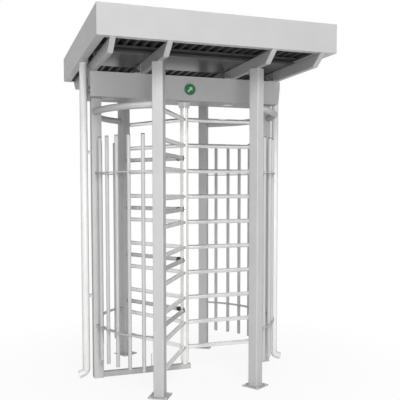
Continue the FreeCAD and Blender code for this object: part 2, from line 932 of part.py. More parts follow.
def make_lamp_housings():
    """Recessed lamp cups in the header floor."""
    cups = []
    for x, y in lamp_places:
        z0 = header_floor
        flange = rod(lamp_dia / 2 + lamp_flange, V(x, y, z0 - lamp_flange_thick), V(x, y, z0))
        cup = rod(lamp_dia / 2 - hole_gap, V(x, y, z0 - lamp_flange_thick), V(x, y, z0 + lamp_depth))
        inside = rod(lamp_dia / 2 - lamp_wall, V(x, y, z0 - lamp_flange_thick),
                     V(x, y, z0 + lamp_depth - lamp_wall))
        cups.append(fused([flange, cup]).cut(inside))
    return group(cups)


def make_lamp_lenses():
    """Frosted discs inside the lamp cups."""
    lenses = []
    for x, y in lamp_places:
        z0 = header_floor + lamp_lens_up
        lenses.append(rod(lamp_dia / 2 - lamp_wall, V(x, y, z0), V(x, y, z0 + lamp_lens_thick)))
    return group(lenses)


def make_indicator_bezel():
    """Round rim of the indicator on the front cover, with a stem through it."""
    front = header_front
    centre = V(0, front, indicator_height)
    rim = rod(indicator_dia / 2, centre - V(0, indicator_proud, 0), centre)
    rim = rim.makeFillet(indicator_round, [e for e in rim.Edges if e.CenterOfMass.y < header_front - 1])
    pocket = rod(indicator_dia / 2 - indicator_rim, centre - V(0, indicator_proud, 0),
                 centre - V(0, indicator_proud - indicator_lens_thick, 0))
    stem = rod(indicator_dia / 2 - 2 * indicator_rim - hole_gap, centre, centre + V(0, indicator_stem, 0))
    return fused([rim, stem]).cut(pocket)


def make_indicator_lens():
    """Coloured disc of the indicator."""
    outer = V(0, header_front - indicator_proud, indicator_height)
    return rod(indicator_dia / 2 - indicator_rim, outer, outer + V(0, indicator_lens_thick, 0))


def make_indicator_arrow():
    """Plain arrow on the indicator lens."""
    y = header_front - indicator_proud - arrow_thick
    half = arrow_length / 2
    neck = half - arrow_head / 2
    z = indicator_height
    side = [(-half, -arrow_shaft / 2), (neck, -arrow_shaft / 2), (neck, -arrow_head / 2), (half, 0)]
    other = [(neck, arrow_head / 2), (neck, arrow_shaft / 2), (-half, arrow_shaft / 2)]
    turn = math.radians(45)
    corners = []
    for a, b in side + other:
        across = a * math.cos(turn) - b * math.sin(turn)
        up = a * math.sin(turn) + b * math.cos(turn)
        corners.append(V(across, y, z + up))
    return prism(corners, V(0, arrow_thick, 0))


def roof_arm_xs():
    """X of the four roof arms: the outer ones over the header ends, the inner ones over the posts."""
    return (-outer_arm_x, -corner_x, corner_x, outer_arm_x)


def make_roof_arm(x):
    """Rectangular tube under the canopy with closed, slanted ends."""
    low = frame_height
    high = canopy_floor
    front = -canopy_front + roof_arm_inset
    rear = canopy_rear - roof_arm_inset
    w = roof_arm_wall
    half = roof_arm_width / 2
    outline = [(front + roof_arm_cut, low), (rear - roof_arm_cut, low), (rear, high), (front, high)]
    hollow = [(front + roof_arm_cut + w, low + w), (rear - roof_arm_cut - w, low + w),
              (rear - 2 * w, high - w), (front + 2 * w, high - w)]
    outside = prism([V(x - half, y, z) for y, z in outline], V(2 * half, 0, 0))
    outside = eased(outside, roof_arm_round, rear - front - 2 * roof_arm_cut)
    inside = prism([V(x - half + w, y, z) for y, z in hollow], V(2 * (half - w), 0, 0))
    drain = rod(drain_hole / 2, V(x, 0, low - 1), V(x, 0, low + w + 1))
    return outside.cut(inside).cut(drain)


def make_roof_arms():
    """The four arms that carry the canopy."""
    return group([make_roof_arm(x) for x in roof_arm_xs()])


def make_purlin(y):
    """Lipped channel across the roof arms, open to the front."""
    reach = canopy_side - outlet_width - cover_gap
    w = purlin_wall
    z0 = canopy_floor
    z1 = canopy_floor + purlin_height
    back = y + purlin_width
    outline = [(y, z0), (back, z0), (back, z1), (y, z1), (y, z1 - purlin_lip), (y + w, z1 - purlin_lip),
               (y + w, z1 - w), (back - w, z1 - w), (back - w, z0 + w), (y + w, z0 + w),
               (y + w, z0 + purlin_lip), (y, z0 + purlin_lip)]
    return prism([V(-reach, a, b) for a, b in outline], V(2 * reach, 0, 0))


def make_soffit():
    """Flat sheet that lies on the roof arms between the first two channels."""
    side = outer_arm_x + roof_arm_width / 2
    y0 = purlin_places[0] + purlin_width + cover_gap
    y1 = purlin_places[1] - cover_gap
    return box(-side, side, y0, y1, canopy_floor, canopy_floor + soffit_sheet)


def make_purlins():
    """Three channels that carry the roof deck, and the flat sheet between two of them."""
    return group([make_purlin(y) for y in purlin_places] + [make_soffit()])


def make_roof_deck():
    """Ribbed sheet on the purlins, its ribs running from front to rear."""
    x1 = canopy_side - fascia_sheet - deck_side_edge
    x0 = -x1
    y0 = -canopy_front + fascia_sheet + deck_edge
    y1 = canopy_rear - fascia_sheet - deck_edge
    ribs = int((x1 - x0) // deck_pitch)
    start = (x0 + x1 - ribs * deck_pitch) / 2
    ramp = (deck_pitch - 2 * deck_flat) / 2
    line = [(x0, 0.0)]
    for i in range(ribs):
        left = start + i * deck_pitch
        line.append((left + deck_flat / 2, 0.0))
        line.append((left + deck_flat / 2 + ramp, deck_rise))
        line.append((left + deck_flat * 1.5 + ramp, deck_rise))
        line.append((left + deck_pitch - deck_flat / 2, 0.0))
    line.append((x1, 0.0))
    lower = [V(x, y0, deck_floor + z) for x, z in line]
    upper = [V(x, y0, deck_floor + z + deck_sheet) for x, z in reversed(line)]
    return prism(lower + upper, V(0, y1 - y0, 0))


def make_deck_cleat(x):
    """Bent plate that stands over a roof arm and holds the deck up."""
    half = roof_arm_width / 2
    t = cleat_thick
    base = canopy_floor + soffit_sheet
    foot = box(x - half, x + half, cleat_y, cleat_y + cleat_foot, base, base + t)
    upright = box(x - half, x + half, cleat_y, cleat_y + t, base, deck_floor)
    head = box(x - half, x + half, cleat_y, cleat_y + cleat_foot, deck_floor - t, deck_floor)
    return fused([foot, upright, head])


def make_arm_bracket(x):
    """Angle that ties a roof arm to the top of the header, on the arm's left face."""
    face = x - roof_arm_width / 2
    t = bracket_thick
    y1 = bracket_front + bracket_length
    leg = box(face - t, face, bracket_front, y1, frame_height, frame_height + bracket_leg)
    foot = box(face - bracket_foot, face, bracket_front, y1, frame_height, frame_height + t)
    return fused([leg, foot])


def make_roof_brackets():
    """Cleats under the deck, and angles between the header and the arms that have room for one."""
    cleats = [make_deck_cleat(x) for x in roof_arm_xs()]
    angles = [make_arm_bracket(x) for x in roof_arm_xs()[1:]]
    return group(cleats + angles)


def make_long_fascia(side):
    """Front or rear fascia with its return under the canopy."""
    t = fascia_sheet
    z0 = canopy_floor
    z1 = z0 + fascia_height
    if side == "front":
        face = box(-canopy_side, canopy_side, -canopy_front, -canopy_front + t, z0, z1)
        shelf = box(-canopy_side, canopy_side, -canopy_front, -canopy_front + fascia_return, z0, z0 + t)
        hem = box(-canopy_side, canopy_side, -canopy_front, -canopy_front + hem_width, z1 - t, z1)
    else:
        face = box(-canopy_side, canopy_side, canopy_rear - t, canopy_rear, z0, z1)
        shelf = box(-canopy_side, canopy_side, canopy_rear - fascia_return, canopy_rear, z0, z0 + t)
        hem = box(-canopy_side, canopy_side, canopy_rear - hem_width, canopy_rear, z1 - t, z1)
    return fused([face, shelf, hem])


def outward(side):
    """Which way along X the outside lies, seen from the rotor."""
    return -1 if side == "left" else 1


def pipe_x(side):
    """X of a downpipe."""
    return outward(side) * pipe_line


def make_side_fascia(side):
    """Side fascia whose return is a gutter, wider at the outlet for the downpipe."""
    t = fascia_sheet
    z0 = canopy_floor
    z1 = z0 + fascia_height
    z2 = z0 + gutter_upstand
    y0 = -canopy_front + fascia_return
    y1 = canopy_rear - fascia_return
    pit0 = pipe_y - outlet_length / 2
    pit1 = pipe_y + outlet_length / 2

    def strip(a, b, ya, yb, za, zb):
        """Length of sheet between two distances in from the outer face."""
        xs = sorted((outward(side) * (canopy_side - a), outward(side) * (canopy_side - b)))
        return box(xs[0], xs[1], ya, yb, za, zb)

    face = strip(0, t, y0, y1, z0, z1)
    ends = strip(0, t, -canopy_front + hem_width, canopy_rear - hem_width, z0 + t, z1)
    hem = strip(0, hem_width, y0, y1, z1 - t, z1)
    shelf = strip(0, gutter_shelf, y0, y1, z0, z0 + t)
    outlet = strip(0, outlet_width, pit0, pit1, z0, z0 + t)
    rims = [strip(gutter_shelf - t, gutter_shelf, y0, pit0 + t, z0, z2),
            strip(gutter_shelf - t, gutter_shelf, pit1 - t, y1, z0, z2),
            strip(gutter_shelf - t, outlet_width, pit0, pit0 + t, z0, z2),
            strip(gutter_shelf - t, outlet_width, pit1 - t, pit1, z0, z2),
            strip(outlet_width - t, outlet_width, pit0, pit1, z0, z2)]
    gutter = fused([face, ends, hem, shelf, outlet] + rims)
    middle = V(pipe_x(side), pipe_y, z0 - t)
    return gutter.cut(rod(pipe_dia / 2 + hole_gap, middle, middle + V(0, 0, 3 * t)))


def bent_bar(radius, side):
    """Solid line of a downpipe: straight down, then a bend outward at the foot."""
    x = pipe_x(side)
    way_out = outward(side)
    turn = math.radians(shoe_turn)
    drop = shoe_bend * math.sin(turn) + shoe_end * math.cos(turn) + pipe_dia / 2 * math.sin(turn)
    knee = shoe_lift + drop
    top = canopy_floor + pipe_stub
    straight = rod(radius, V(x, pipe_y, knee), V(x, pipe_y, top))
    centre = V(x + way_out * shoe_bend, pipe_y, knee)
    disc = Part.Face(Part.Wire(Part.makeCircle(radius, V(x, pipe_y, knee), V(0, 0, 1))))
    bend = disc.revolve(centre, V(0, -way_out, 0), shoe_turn)
    end = V(x + way_out * shoe_bend * (1 - math.cos(turn)), pipe_y, knee - shoe_bend * math.sin(turn))
    way = V(way_out * math.sin(turn), 0, -math.cos(turn))
    return fused([straight, bend, rod(radius, end, end + way * shoe_end)])


def make_downpipe(side):
    """Rainwater pipe from the gutter to a shoe near the floor."""
    return bent_bar(pipe_dia / 2, side).cut(bent_bar(pipe_dia / 2 - pipe_wall, side))


def make_pipe_saddle(side, z):
    """Block between the side post and a downpipe, hollowed to the pipe's wall."""
    x = pipe_x(side)
    xs = sorted((outward(side) * (post_circle + post_size / 2), x))
    block = box(xs[0], xs[1], pipe_y - clip_width / 2, pipe_y + clip_width / 2, z, z + clip_height)
    return block.cut(rod(pipe_dia / 2 + hole_gap, V(x, pipe_y, z), V(x, pipe_y, z + clip_height)))


def make_pipe_clips():
    """Blocks that hold the downpipes to the side posts."""
    return group([make_pipe_saddle(side, z) for side in ("left", "right") for z in clip_heights])


def build():
    """Every node of the turnstile by name."""
    nodes = {}
    for name in corner_names:
        nodes["post_" + name] = make_post(post_angles[name], frame_height)
    for name in ("left", "right"):
        nodes["post_" + name] = make_post(post_angles[name], header_floor)
        nodes["ring_" + name] = make_ring(name)
        nodes["cage_rails_" + name] = make_rails(name)
        nodes["cage_bars_" + name] = make_bars(name)
        nodes["header_end_" + name] = make_header_end(name)
        nodes["fascia_" + name] = make_side_fascia(name)
        nodes["downpipe_" + name] = make_downpipe(name)
    plates = [make_corner_plate(post_angles[name]) for name in corner_names]
    plates += [make_flush_plate(post_angles[name]) for name in ("left", "right")]
    nodes["base_plates"] = group(plates)
    nodes["comb_front"] = make_comb(post_angles["front_left"])
    nodes["comb_rear"] = make_comb(post_angles["rear_left"])
    nodes["comb_end_caps"] = make_comb_caps()
    for i in range(wing_count):
        nodes["rotor_wing_%d" % (i + 1)] = make_wing(360 * i / wing_count)
    nodes["rotor_column"] = make_column()
    nodes["sill_beam"] = make_sill()
    nodes["sill_stud"] = make_sill_stud()
    nodes["foot_cup"] = make_foot_cup()
    nodes["foot_bush"] = make_foot_bush()
    nodes["header_shell"] = make_header_shell()
    nodes["header_front_cover"] = make_front_cover()
    nodes["cover_hinge_pin"] = make_hinge_pin()
    lower, upper = lock_heights()
    nodes["cover_lock_lower"] = make_cover_lock(lower)
    nodes["cover_lock_upper"] = make_cover_lock(upper)
    nodes["bearing_plate"] = make_bearing_plate()
    nodes["top_bearing"] = make_top_bearing()
    nodes["bearing_cap"] = make_bearing_cap()
    nodes["index_disc"] = make_index_disc()
    nodes["drive_gear"] = make_drive_gear()
    nodes["damper_pinion"] = make_damper_pinion()
    nodes["damper_body"] = make_damper_body()
    for name, turn in (("left", 0), ("right", 180)):
        nodes["lock_pawl_" + name] = make_pawl(turn)
        nodes["plunger_" + name] = make_plunger(turn)
    nodes["solenoids"] = make_solenoids()
    nodes["controller_box"] = make_controller()
    nodes["lamp_housings"] = make_lamp_housings()
    nodes["lamp_lenses"] = make_lamp_lenses()
    nodes["indicator_bezel"] = make_indicator_bezel()
    nodes["indicator_lens"] = make_indicator_lens()
    nodes["indicator_arrow"] = make_indicator_arrow()
    nodes["roof_arms"] = make_roof_arms()
    nodes["roof_purlins"] = make_purlins()
    nodes["roof_deck"] = make_roof_deck()
    nodes["roof_brackets"] = make_roof_brackets()
    nodes["fascia_front"] = make_long_fascia("front")
    nodes["fascia_rear"] = make_long_fascia("rear")
    nodes["pipe_clips"] = make_pipe_clips()
    return nodes


def main():
    """Write one STEP file per node and print what each holds."""
    os.makedirs("parts", exist_ok=True)
    nodes = build()
    for name in sorted(nodes):
        shape = nodes[name]
        shape.exportStep("parts/" + name + ".step")
        size = shape.BoundBox
        print("%-20s solids %2d valid %s volume %10.0f  x %.1f %.1f  y %.1f %.1f  z %.1f %.1f" % (
            name, len(shape.Solids), shape.isValid(), shape.Volume,
            size.XMin, size.XMax, size.YMin, size.YMax, size.ZMin, size.ZMax))
    print(len(nodes), "nodes")


main()
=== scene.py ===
"""Looks of a full height turnstile, laid over its packed construction model.

The construction model holds every piece at its real size. This script gives each of them its finish,
adds the welds, fixings, plugs and trims that a shop would add last, and sets up a plain studio.
All lengths are metres, in the frame of the construction model.
"""

import logging
import math
from dataclasses import dataclass, field
from enum import Enum

import bmesh
import bpy
import numpy as np
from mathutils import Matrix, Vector


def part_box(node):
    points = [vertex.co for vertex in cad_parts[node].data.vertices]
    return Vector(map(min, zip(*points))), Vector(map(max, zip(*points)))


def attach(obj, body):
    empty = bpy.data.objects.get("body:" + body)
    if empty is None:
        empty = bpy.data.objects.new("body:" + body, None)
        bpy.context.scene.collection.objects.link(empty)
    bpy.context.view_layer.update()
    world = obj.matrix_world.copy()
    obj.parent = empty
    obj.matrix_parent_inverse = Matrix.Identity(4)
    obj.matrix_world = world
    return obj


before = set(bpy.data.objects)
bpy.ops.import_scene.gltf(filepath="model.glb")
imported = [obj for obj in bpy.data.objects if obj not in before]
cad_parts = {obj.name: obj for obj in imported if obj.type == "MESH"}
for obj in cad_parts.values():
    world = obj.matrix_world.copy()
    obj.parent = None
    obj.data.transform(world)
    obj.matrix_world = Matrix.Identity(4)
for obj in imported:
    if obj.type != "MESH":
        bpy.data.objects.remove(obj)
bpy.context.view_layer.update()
LOG = logging.getLogger("turnstile")
MM = 0.001
ALONG = np.array([1.0, 0.0, 0.0])
DEEP = np.array([0.0, 1.0, 0.0])
UP = np.array([0.0, 0.0, 1.0])
TURN = 2.0 * math.pi
HEAD_CREASE = 30.0

Colour = tuple[float, float, float]
Place = tuple[float, float, float]
Shell = tuple[np.ndarray, np.ndarray]
Path = tuple[np.ndarray, np.ndarray]
Material = bpy.types.Material
Node = bpy.types.Node
Socket = bpy.types.NodeSocket
Tree = bpy.types.NodeTree


class Corner(Enum):
    """Corner posts of the frame, as their nodes spell them."""

    FRONT_LEFT = "front_left"
    FRONT_RIGHT = "front_right"
    REAR_LEFT = "rear_left"
    REAR_RIGHT = "rear_right"


class Side(Enum):
    """Sides of the turnstile, with the direction away from the rotor along X."""

    LEFT = -1.0
    RIGHT = 1.0

    @property
    def word(self) -> str:
        """Name of the side as the nodes spell it."""
        return self.name.lower()


class Grain(Enum):
    """Direction of the brushing on a stainless tube, as a turn about the vertical axis and a tilt."""

    UPRIGHT = (0.0, 90.0)
    WING_1 = (0.0, 0.0)
    WING_2 = (120.0, 0.0)
    WING_3 = (240.0, 0.0)
    COMB_FRONT = (238.7, 0.0)
    COMB_REAR = (121.3, 0.0)


def unit(vector: np.ndarray) -> np.ndarray:
    """Vectors scaled to length one along their last axis.

    Args:
        vector: One vector or an array of them.

    Returns:
        Vectors of length one.
    """
    length = np.linalg.norm(vector, axis=-1, keepdims=True)
    return vector / np.maximum(length, 1e-12)


def on_circle(angle: float, radius: float, height: float = 0.0) -> np.ndarray:
    """Point on a level circle round the rotor axis.

    Args:
        angle: Angle in degrees from the X axis.
        radius: Radius of the circle.
        height: Height of the circle.

    Returns:
        The point.
    """
    turn = math.radians(angle)
    return np.array([radius * math.cos(turn), radius * math.sin(turn), height])


def centre_of(node: str) -> np.ndarray:
    """Centre of a construction node's box.

    Args:
        node: Name of the node.

    Returns:
        The centre.
    """
    low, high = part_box(node)
    return (np.array(low) + np.array(high)) / 2.0


def grid_faces(rows: int, cols: int, close_rows: bool, close_cols: bool) -> np.ndarray:
    """Quads between neighbouring points of a grid.

    A quad joins point (i, j) with (i + 1, j), (i + 1, j + 1) and (i, j + 1), and wraps round where closed.

    Args:
        rows: Number of points along the first parameter.
        cols: Number of points along the second parameter.
        close_rows: Whether the last row joins the first.
        close_cols: Whether the last column joins the first.

    Returns:
        Indices of the quads' corners, four to a row.
    """
    i = np.arange(rows if close_rows else rows - 1)
    j = np.arange(cols if close_cols else cols - 1)
    a, b = np.meshgrid(i, j, indexing="ij")
    c = (a + 1) % rows
    d = (b + 1) % cols
    return np.stack([a * cols + b, c * cols + b, c * cols + d, a * cols + d], axis=-1).reshape(-1, 4)


def around(axis: np.ndarray, steps: int) -> tuple[np.ndarray, np.ndarray, np.ndarray]:
    """Directions evenly round an axis.

    Direction a is u cos a + v sin a, with u and v square to the axis and to each other.

    Args:
        axis: Direction of the axis.
        steps: Number of directions.

    Returns:
        The axis at length one, the angles, and the direction at each angle.
    """
    w = unit(np.asarray(axis, float))
    u = unit(np.cross(w, ALONG if abs(w[0]) < 0.9 else DEEP))
    v = np.cross(w, u)
    angle = np.arange(steps) * TURN / steps
    return w, angle, np.cos(angle)[:, None] * u + np.sin(angle)[:, None] * v


def revolve(profile: np.ndarray, base: np.ndarray, axis: np.ndarray, steps: int = 32,
            closed: bool = False) -> Shell:
    """Surface of revolution.

    Point (k, a) is base + height_k * axis + radius_k * (u cos a + v sin a), with u and v square to
    the axis.

    Args:
        profile: Rows of radius and height along the axis.
        base: Point on the axis at height zero.
        axis: Direction of the axis.
        steps: Number of steps round the axis.
        closed: Whether the profile is a closed loop, as for a ring.

    Returns:
        Points and quads.
    """
    w, _, ring = around(axis, steps)
    points = base + profile[:, 1, None, None] * w + profile[:, 0, None, None] * ring[None]
    return points.reshape(-1, 3), grid_faces(len(profile), steps, closed, True)


def hexagon(place: np.ndarray, axis: np.ndarray, flat: float, rows: np.ndarray, steps: int = 36) -> Shell:
    """Hexagonal nut or bolt head with its chamfer.

    At angle a, the radius of row k is the smaller of limit_k and flat / cos(a), with a folded into the
    sixth about each flat; the row lies height_k along the axis.

    Args:
        place: Point under the middle of the head.
        axis: Direction in which the head stands.
        flat: Half of the width across the flats.
        rows: Rows of radius limit and height.
        steps: Points round the axis.

    Returns:
        Points and quads.
    """
    w, angle, ring = around(axis, steps)
    edge = flat / np.cos((angle % (TURN / 6.0)) - TURN / 12.0)
    radius = np.minimum(edge[None], rows[:, :1])[..., None]
    points = place + rows[:, 1, None, None] * w + radius * ring[None]
    return points.reshape(-1, 3), grid_faces(len(rows), steps, False, True)


def bolt(place: np.ndarray, axis: np.ndarray, thread: float) -> list[Shell]:
    """Washer and bolt head: a turned ring profile under a hexagon with chamfered corners.

    Args:
        place: Point on the surface that the bolt clamps.
        axis: Direction away from the surface.
        thread: Thread diameter, on which the other sizes rest as on a stock bolt.

    Returns:
        The shells of washer and head.
    """
    flat = 0.8 * thread
    lift = 0.18 * thread
    high = lift + 0.62 * thread
    rim = 1.05 * flat
    washer = np.array([[0.0, 0.0], [1.1, 0.0], [1.1, 0.14], [1.05, 0.18], [0.0, 0.18]]) * thread
    rows = np.array([[0.0, lift], [rim, lift], [2.0 * flat, lift + 0.05 * thread],
                     [2.0 * flat, high - 0.07 * thread], [0.95 * flat, high], [0.0, high]])
    return [revolve(washer, place, axis, 24), hexagon(place, axis, flat, rows)]


def dome(place: np.ndarray, axis: np.ndarray, width: float, steps: int = 16) -> Shell:
    """Low round head of a rivet or screw: an arc of a profile turned about its axis.

    Args:
        place: Point on the surface under the head.
        axis: Direction away from the surface.
        width: Diameter of the head.
        steps: Points round the axis.

    Returns:
        Points and quads.
    """
    turn = np.linspace(0.0, math.pi / 2.0, 6)
    lip = 0.12
    rise = 0.42
    profile = np.stack([np.cos(turn), lip + rise * np.sin(turn)], axis=-1) * width / 2.0
    profile = np.concatenate([[[0.0, 0.0], [width / 2.0, 0.0]], profile])
    return revolve(profile, place, axis, steps)


def bead(path: np.ndarray, outward: np.ndarray, radius: float, sides: int = 8) -> Shell:
    """Round weld bead along a closed path.

    Point (i, a) is path_i + radius * (n_i cos a + b_i sin a), where n is the outward direction made square
    to the path's tangent and b is square to both.

    Args:
        path: Points of the closed path.
        outward: Direction away from the welded member at each point.
        radius: Radius of the bead.
        sides: Number of points round the bead.

    Returns:
        Points and quads.
    """
    tangent = unit(np.roll(path, -1, axis=0) - np.roll(path, 1, axis=0))
    across = unit(np.cross(tangent, outward))
    normal = np.cross(across, tangent)
    angle = np.arange(sides) * TURN / sides
    circle = np.cos(angle)[None, :, None] * normal[:, None] + np.sin(angle)[None, :, None] * across[:, None]
    points = path[:, None] + radius * circle
    return points.reshape(-1, 3), grid_faces(len(path), sides, True, True)


def round_path(centre: np.ndarray, u: np.ndarray, v: np.ndarray, radius: float, steps: int = 28) -> Path:
    """Circle as a path, and its outward directions.

    Point a is centre + radius * (u cos a + v sin a).

    Args:
        centre: Centre of the circle.
        u: First direction in the circle's plane.
        v: Second direction in the circle's plane.
        radius: Radius of the circle.
        steps: Number of points.

    Returns:
        The path and the outward direction at each point.
    """
    angle = np.arange(steps) * TURN / steps
    outward = np.cos(angle)[:, None] * u + np.sin(angle)[:, None] * v
    return centre + radius * outward, outward


def box_path(centre: np.ndarray, u: np.ndarray, v: np.ndarray, half_u: float, half_v: float,
             corner: float, steps: int = 6) -> Path:
    """Rectangle with round corners as a path, and its outward directions.

    Each corner is a quarter circle about a centre set in by the corner radius on both axes.

    Args:
        centre: Centre of the rectangle.
        u: Direction of the first side.
        v: Direction of the second side.
        half_u: Half length along u.
        half_v: Half length along v.
        corner: Corner radius.
        steps: Points on each corner.

    Returns:
        The path and the outward direction at each point.
    """
    quarter = np.linspace(0.0, math.pi / 2.0, steps)
    angle = np.concatenate([quarter + k * math.pi / 2.0 for k in range(4)])
    sign_u = np.repeat([1.0, -1.0, -1.0, 1.0], steps)
    sign_v = np.repeat([1.0, 1.0, -1.0, -1.0], steps)
    a = sign_u * (half_u - corner) + corner * np.cos(angle)
    b = sign_v * (half_v - corner) + corner * np.sin(angle)
    outward = np.cos(angle)[:, None] * u + np.sin(angle)[:, None] * v
    return centre + a[:, None] * u + b[:, None] * v, outward


def arc_points(centre: tuple[float, float], radius: float, start: float, end: float,
               steps: int = 6) -> np.ndarray:
    """Points of a profile's arc: radius and height follow a circle from one angle to another.

    Args:
        centre: Radius and height of the circle's centre.
        radius: Radius of the circle.
        start: First angle in degrees.
        end: Last angle in degrees.
        steps: Number of points.

    Returns:
        Rows of radius and height.
    """
    angle = np.radians(np.linspace(start, end, steps))
    return np.stack([centre[0] + radius * np.cos(angle), centre[1] + radius * np.sin(angle)], axis=-1)


def make_piece(name: str, shells: list[Shell], body: str, material: Material,
               crease: float = 40.0) -> bpy.types.Object:
    """One object from closed shells, riding on a body.

    Args:
        name: Name of the piece.
        shells: Points and quads of each shell.
        body: Body that the piece moves with.
        material: Finish.
        crease: Angle in degrees above which an edge stays sharp.

    Returns:
        The new object.
    """
    counts = np.cumsum([0] + [len(points) for points, _ in shells])
    points = np.concatenate([p for p, _ in shells])
    quads = np.concatenate([q + start for (_, q), start in zip(shells, counts)])
    mesh = bpy.data.meshes.new(name)
    mesh.from_pydata(points.tolist(), [], quads.tolist())
    work = bmesh.new()
    work.from_mesh(mesh)
    bmesh.ops.remove_doubles(work, verts=work.verts, dist=1e-6)
    bmesh.ops.dissolve_degenerate(work, edges=work.edges, dist=1e-7)
    bmesh.ops.recalc_face_normals(work, faces=work.faces)
    work.to_mesh(mesh)
    work.free()
    mesh.polygons.foreach_set("use_smooth", np.ones(len(mesh.polygons), bool))
    mesh.set_sharp_from_angle(angle=math.radians(crease))
    mesh.materials.append(material)
    piece = bpy.data.objects.new(name, mesh)
    bpy.context.scene.collection.objects.link(piece)
    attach(piece, body)
    LOG.info("piece %s: %d faces on %s", name, len(mesh.polygons), body)
    return piece


class Sheet:
    """A node tree with short ways to add and join its nodes."""

    def __init__(self, tree: Tree) -> None:
        """Keep the node tree of a material, a world or a shared effect."""
        self.tree = tree

    def add(self, kind: str, values: dict | None = None, **settings: object) -> Node:
        """Add a node.

        Args:
            kind: Type name of the node.
            values: Defaults or links of its inputs, by name or number.
            **settings: Attributes of the node itself.

        Returns:
            The node.
        """
        node = self.tree.nodes.new(kind)
        for key, value in settings.items():
            setattr(node, key, value)
        for key, value in (values or {}).items():
            self.feed(node, key, value)
        return node

    def feed(self, node: Node, key: str | int, value: object) -> None:
        """Link a socket to an input, or set the input's own value.

        Args:
            node: Node that has the input.
            key: Name or number of the input.
            value: Socket to link, or a plain value.
        """
        if isinstance(value, Socket):
            self.tree.links.new(value, node.inputs[key])
        else:
            node.inputs[key].default_value = value

    def math(self, operation: str, a: object, b: object = 0.0, clamp: bool = False) -> Socket:
        """Result of one sum on two values or sockets.

        Args:
            operation: Name of the operation.
            a: First value or socket.
            b: Second value or socket.
            clamp: Whether the result is held between zero and one.

        Returns:
            The socket with the result.
        """
        node = self.add("ShaderNodeMath", {0: a, 1: b}, operation=operation)
        node.use_clamp = clamp
        return node.outputs[0]

    def mix(self, share: object, a: object, b: object) -> Socket:
        """Colour between two others, which are inputs 6 and 7 and output 2 of the mix node.

        Args:
            share: Share of the second colour.
            a: First colour or socket.
            b: Second colour or socket.

        Returns:
            The socket with the colour.
        """
        node = self.add("ShaderNodeMix", data_type="RGBA")
        self.feed(node, 0, share)
        self.feed(node, 6, a)
        self.feed(node, 7, b)
        return node.outputs[2]

    def noise(self, at: Socket, scale: object, detail: float) -> Socket:
        """Plain noise at some coordinates, with a scale and a number of finer layers."""
        node = self.add("ShaderNodeTexNoise", {"Vector": at, "Scale": scale, "Detail": detail})
        return node.outputs[0]

    def effect(self, tree: Tree, at: Socket, **values: float) -> Socket:
        """Place a shared effect with its own values.

        Args:
            tree: Node group of the effect.
            at: Coordinates.
            **values: Values of its other inputs, by name.

        Returns:
            The socket with the effect's only output.
        """
        node = self.add("ShaderNodeGroup", node_tree=tree)
        for key, value in {"Vector": at, **values}.items():
            self.feed(node, key, value)
        return node.outputs[0]

    def bump(self, shader: Node, height: Socket, strength: float, depth: float) -> None:
        """Give a shader its fine relief, with a strength and a depth in metres."""
        node = self.add("ShaderNodeBump", {"Height": height, "Strength": strength, "Distance": depth})
        self.feed(shader, "Normal", node.outputs[0])

    def seen(self) -> Socket:
        """One on rays from the camera, from mirrors and through glass, and zero on all others.

        Returns:
            The socket with the share.
        """
        rays = self.add("ShaderNodeLightPath").outputs
        share = self.math("MAXIMUM", rays["Is Camera Ray"], rays["Is Glossy Ray"])
        return self.math("MAXIMUM", share, rays["Is Transmission Ray"])


def shared_effect(name: str, output: str, *inputs: str) -> tuple[Sheet, dict, Node]:
    """Empty node group that takes coordinates and some values, and gives one value.

    Args:
        name: Name of the effect.
        output: Name of its output.
        *inputs: Names of its inputs beside the coordinates.

    Returns:
        The sheet, the input sockets by name, and the group's output node.
    """
    tree = bpy.data.node_groups.new(name, "ShaderNodeTree")
    tree.interface.new_socket("Vector", in_out="INPUT", socket_type="NodeSocketVector")
    for key in inputs:
        tree.interface.new_socket(key, in_out="INPUT", socket_type="NodeSocketFloat")
    tree.interface.new_socket(output, in_out="OUTPUT", socket_type="NodeSocketFloat")
    sheet = Sheet(tree)
    source = sheet.add("NodeGroupInput")
    return sheet, {key: source.outputs[key] for key in ("Vector", *inputs)}, sheet.add("NodeGroupOutput")


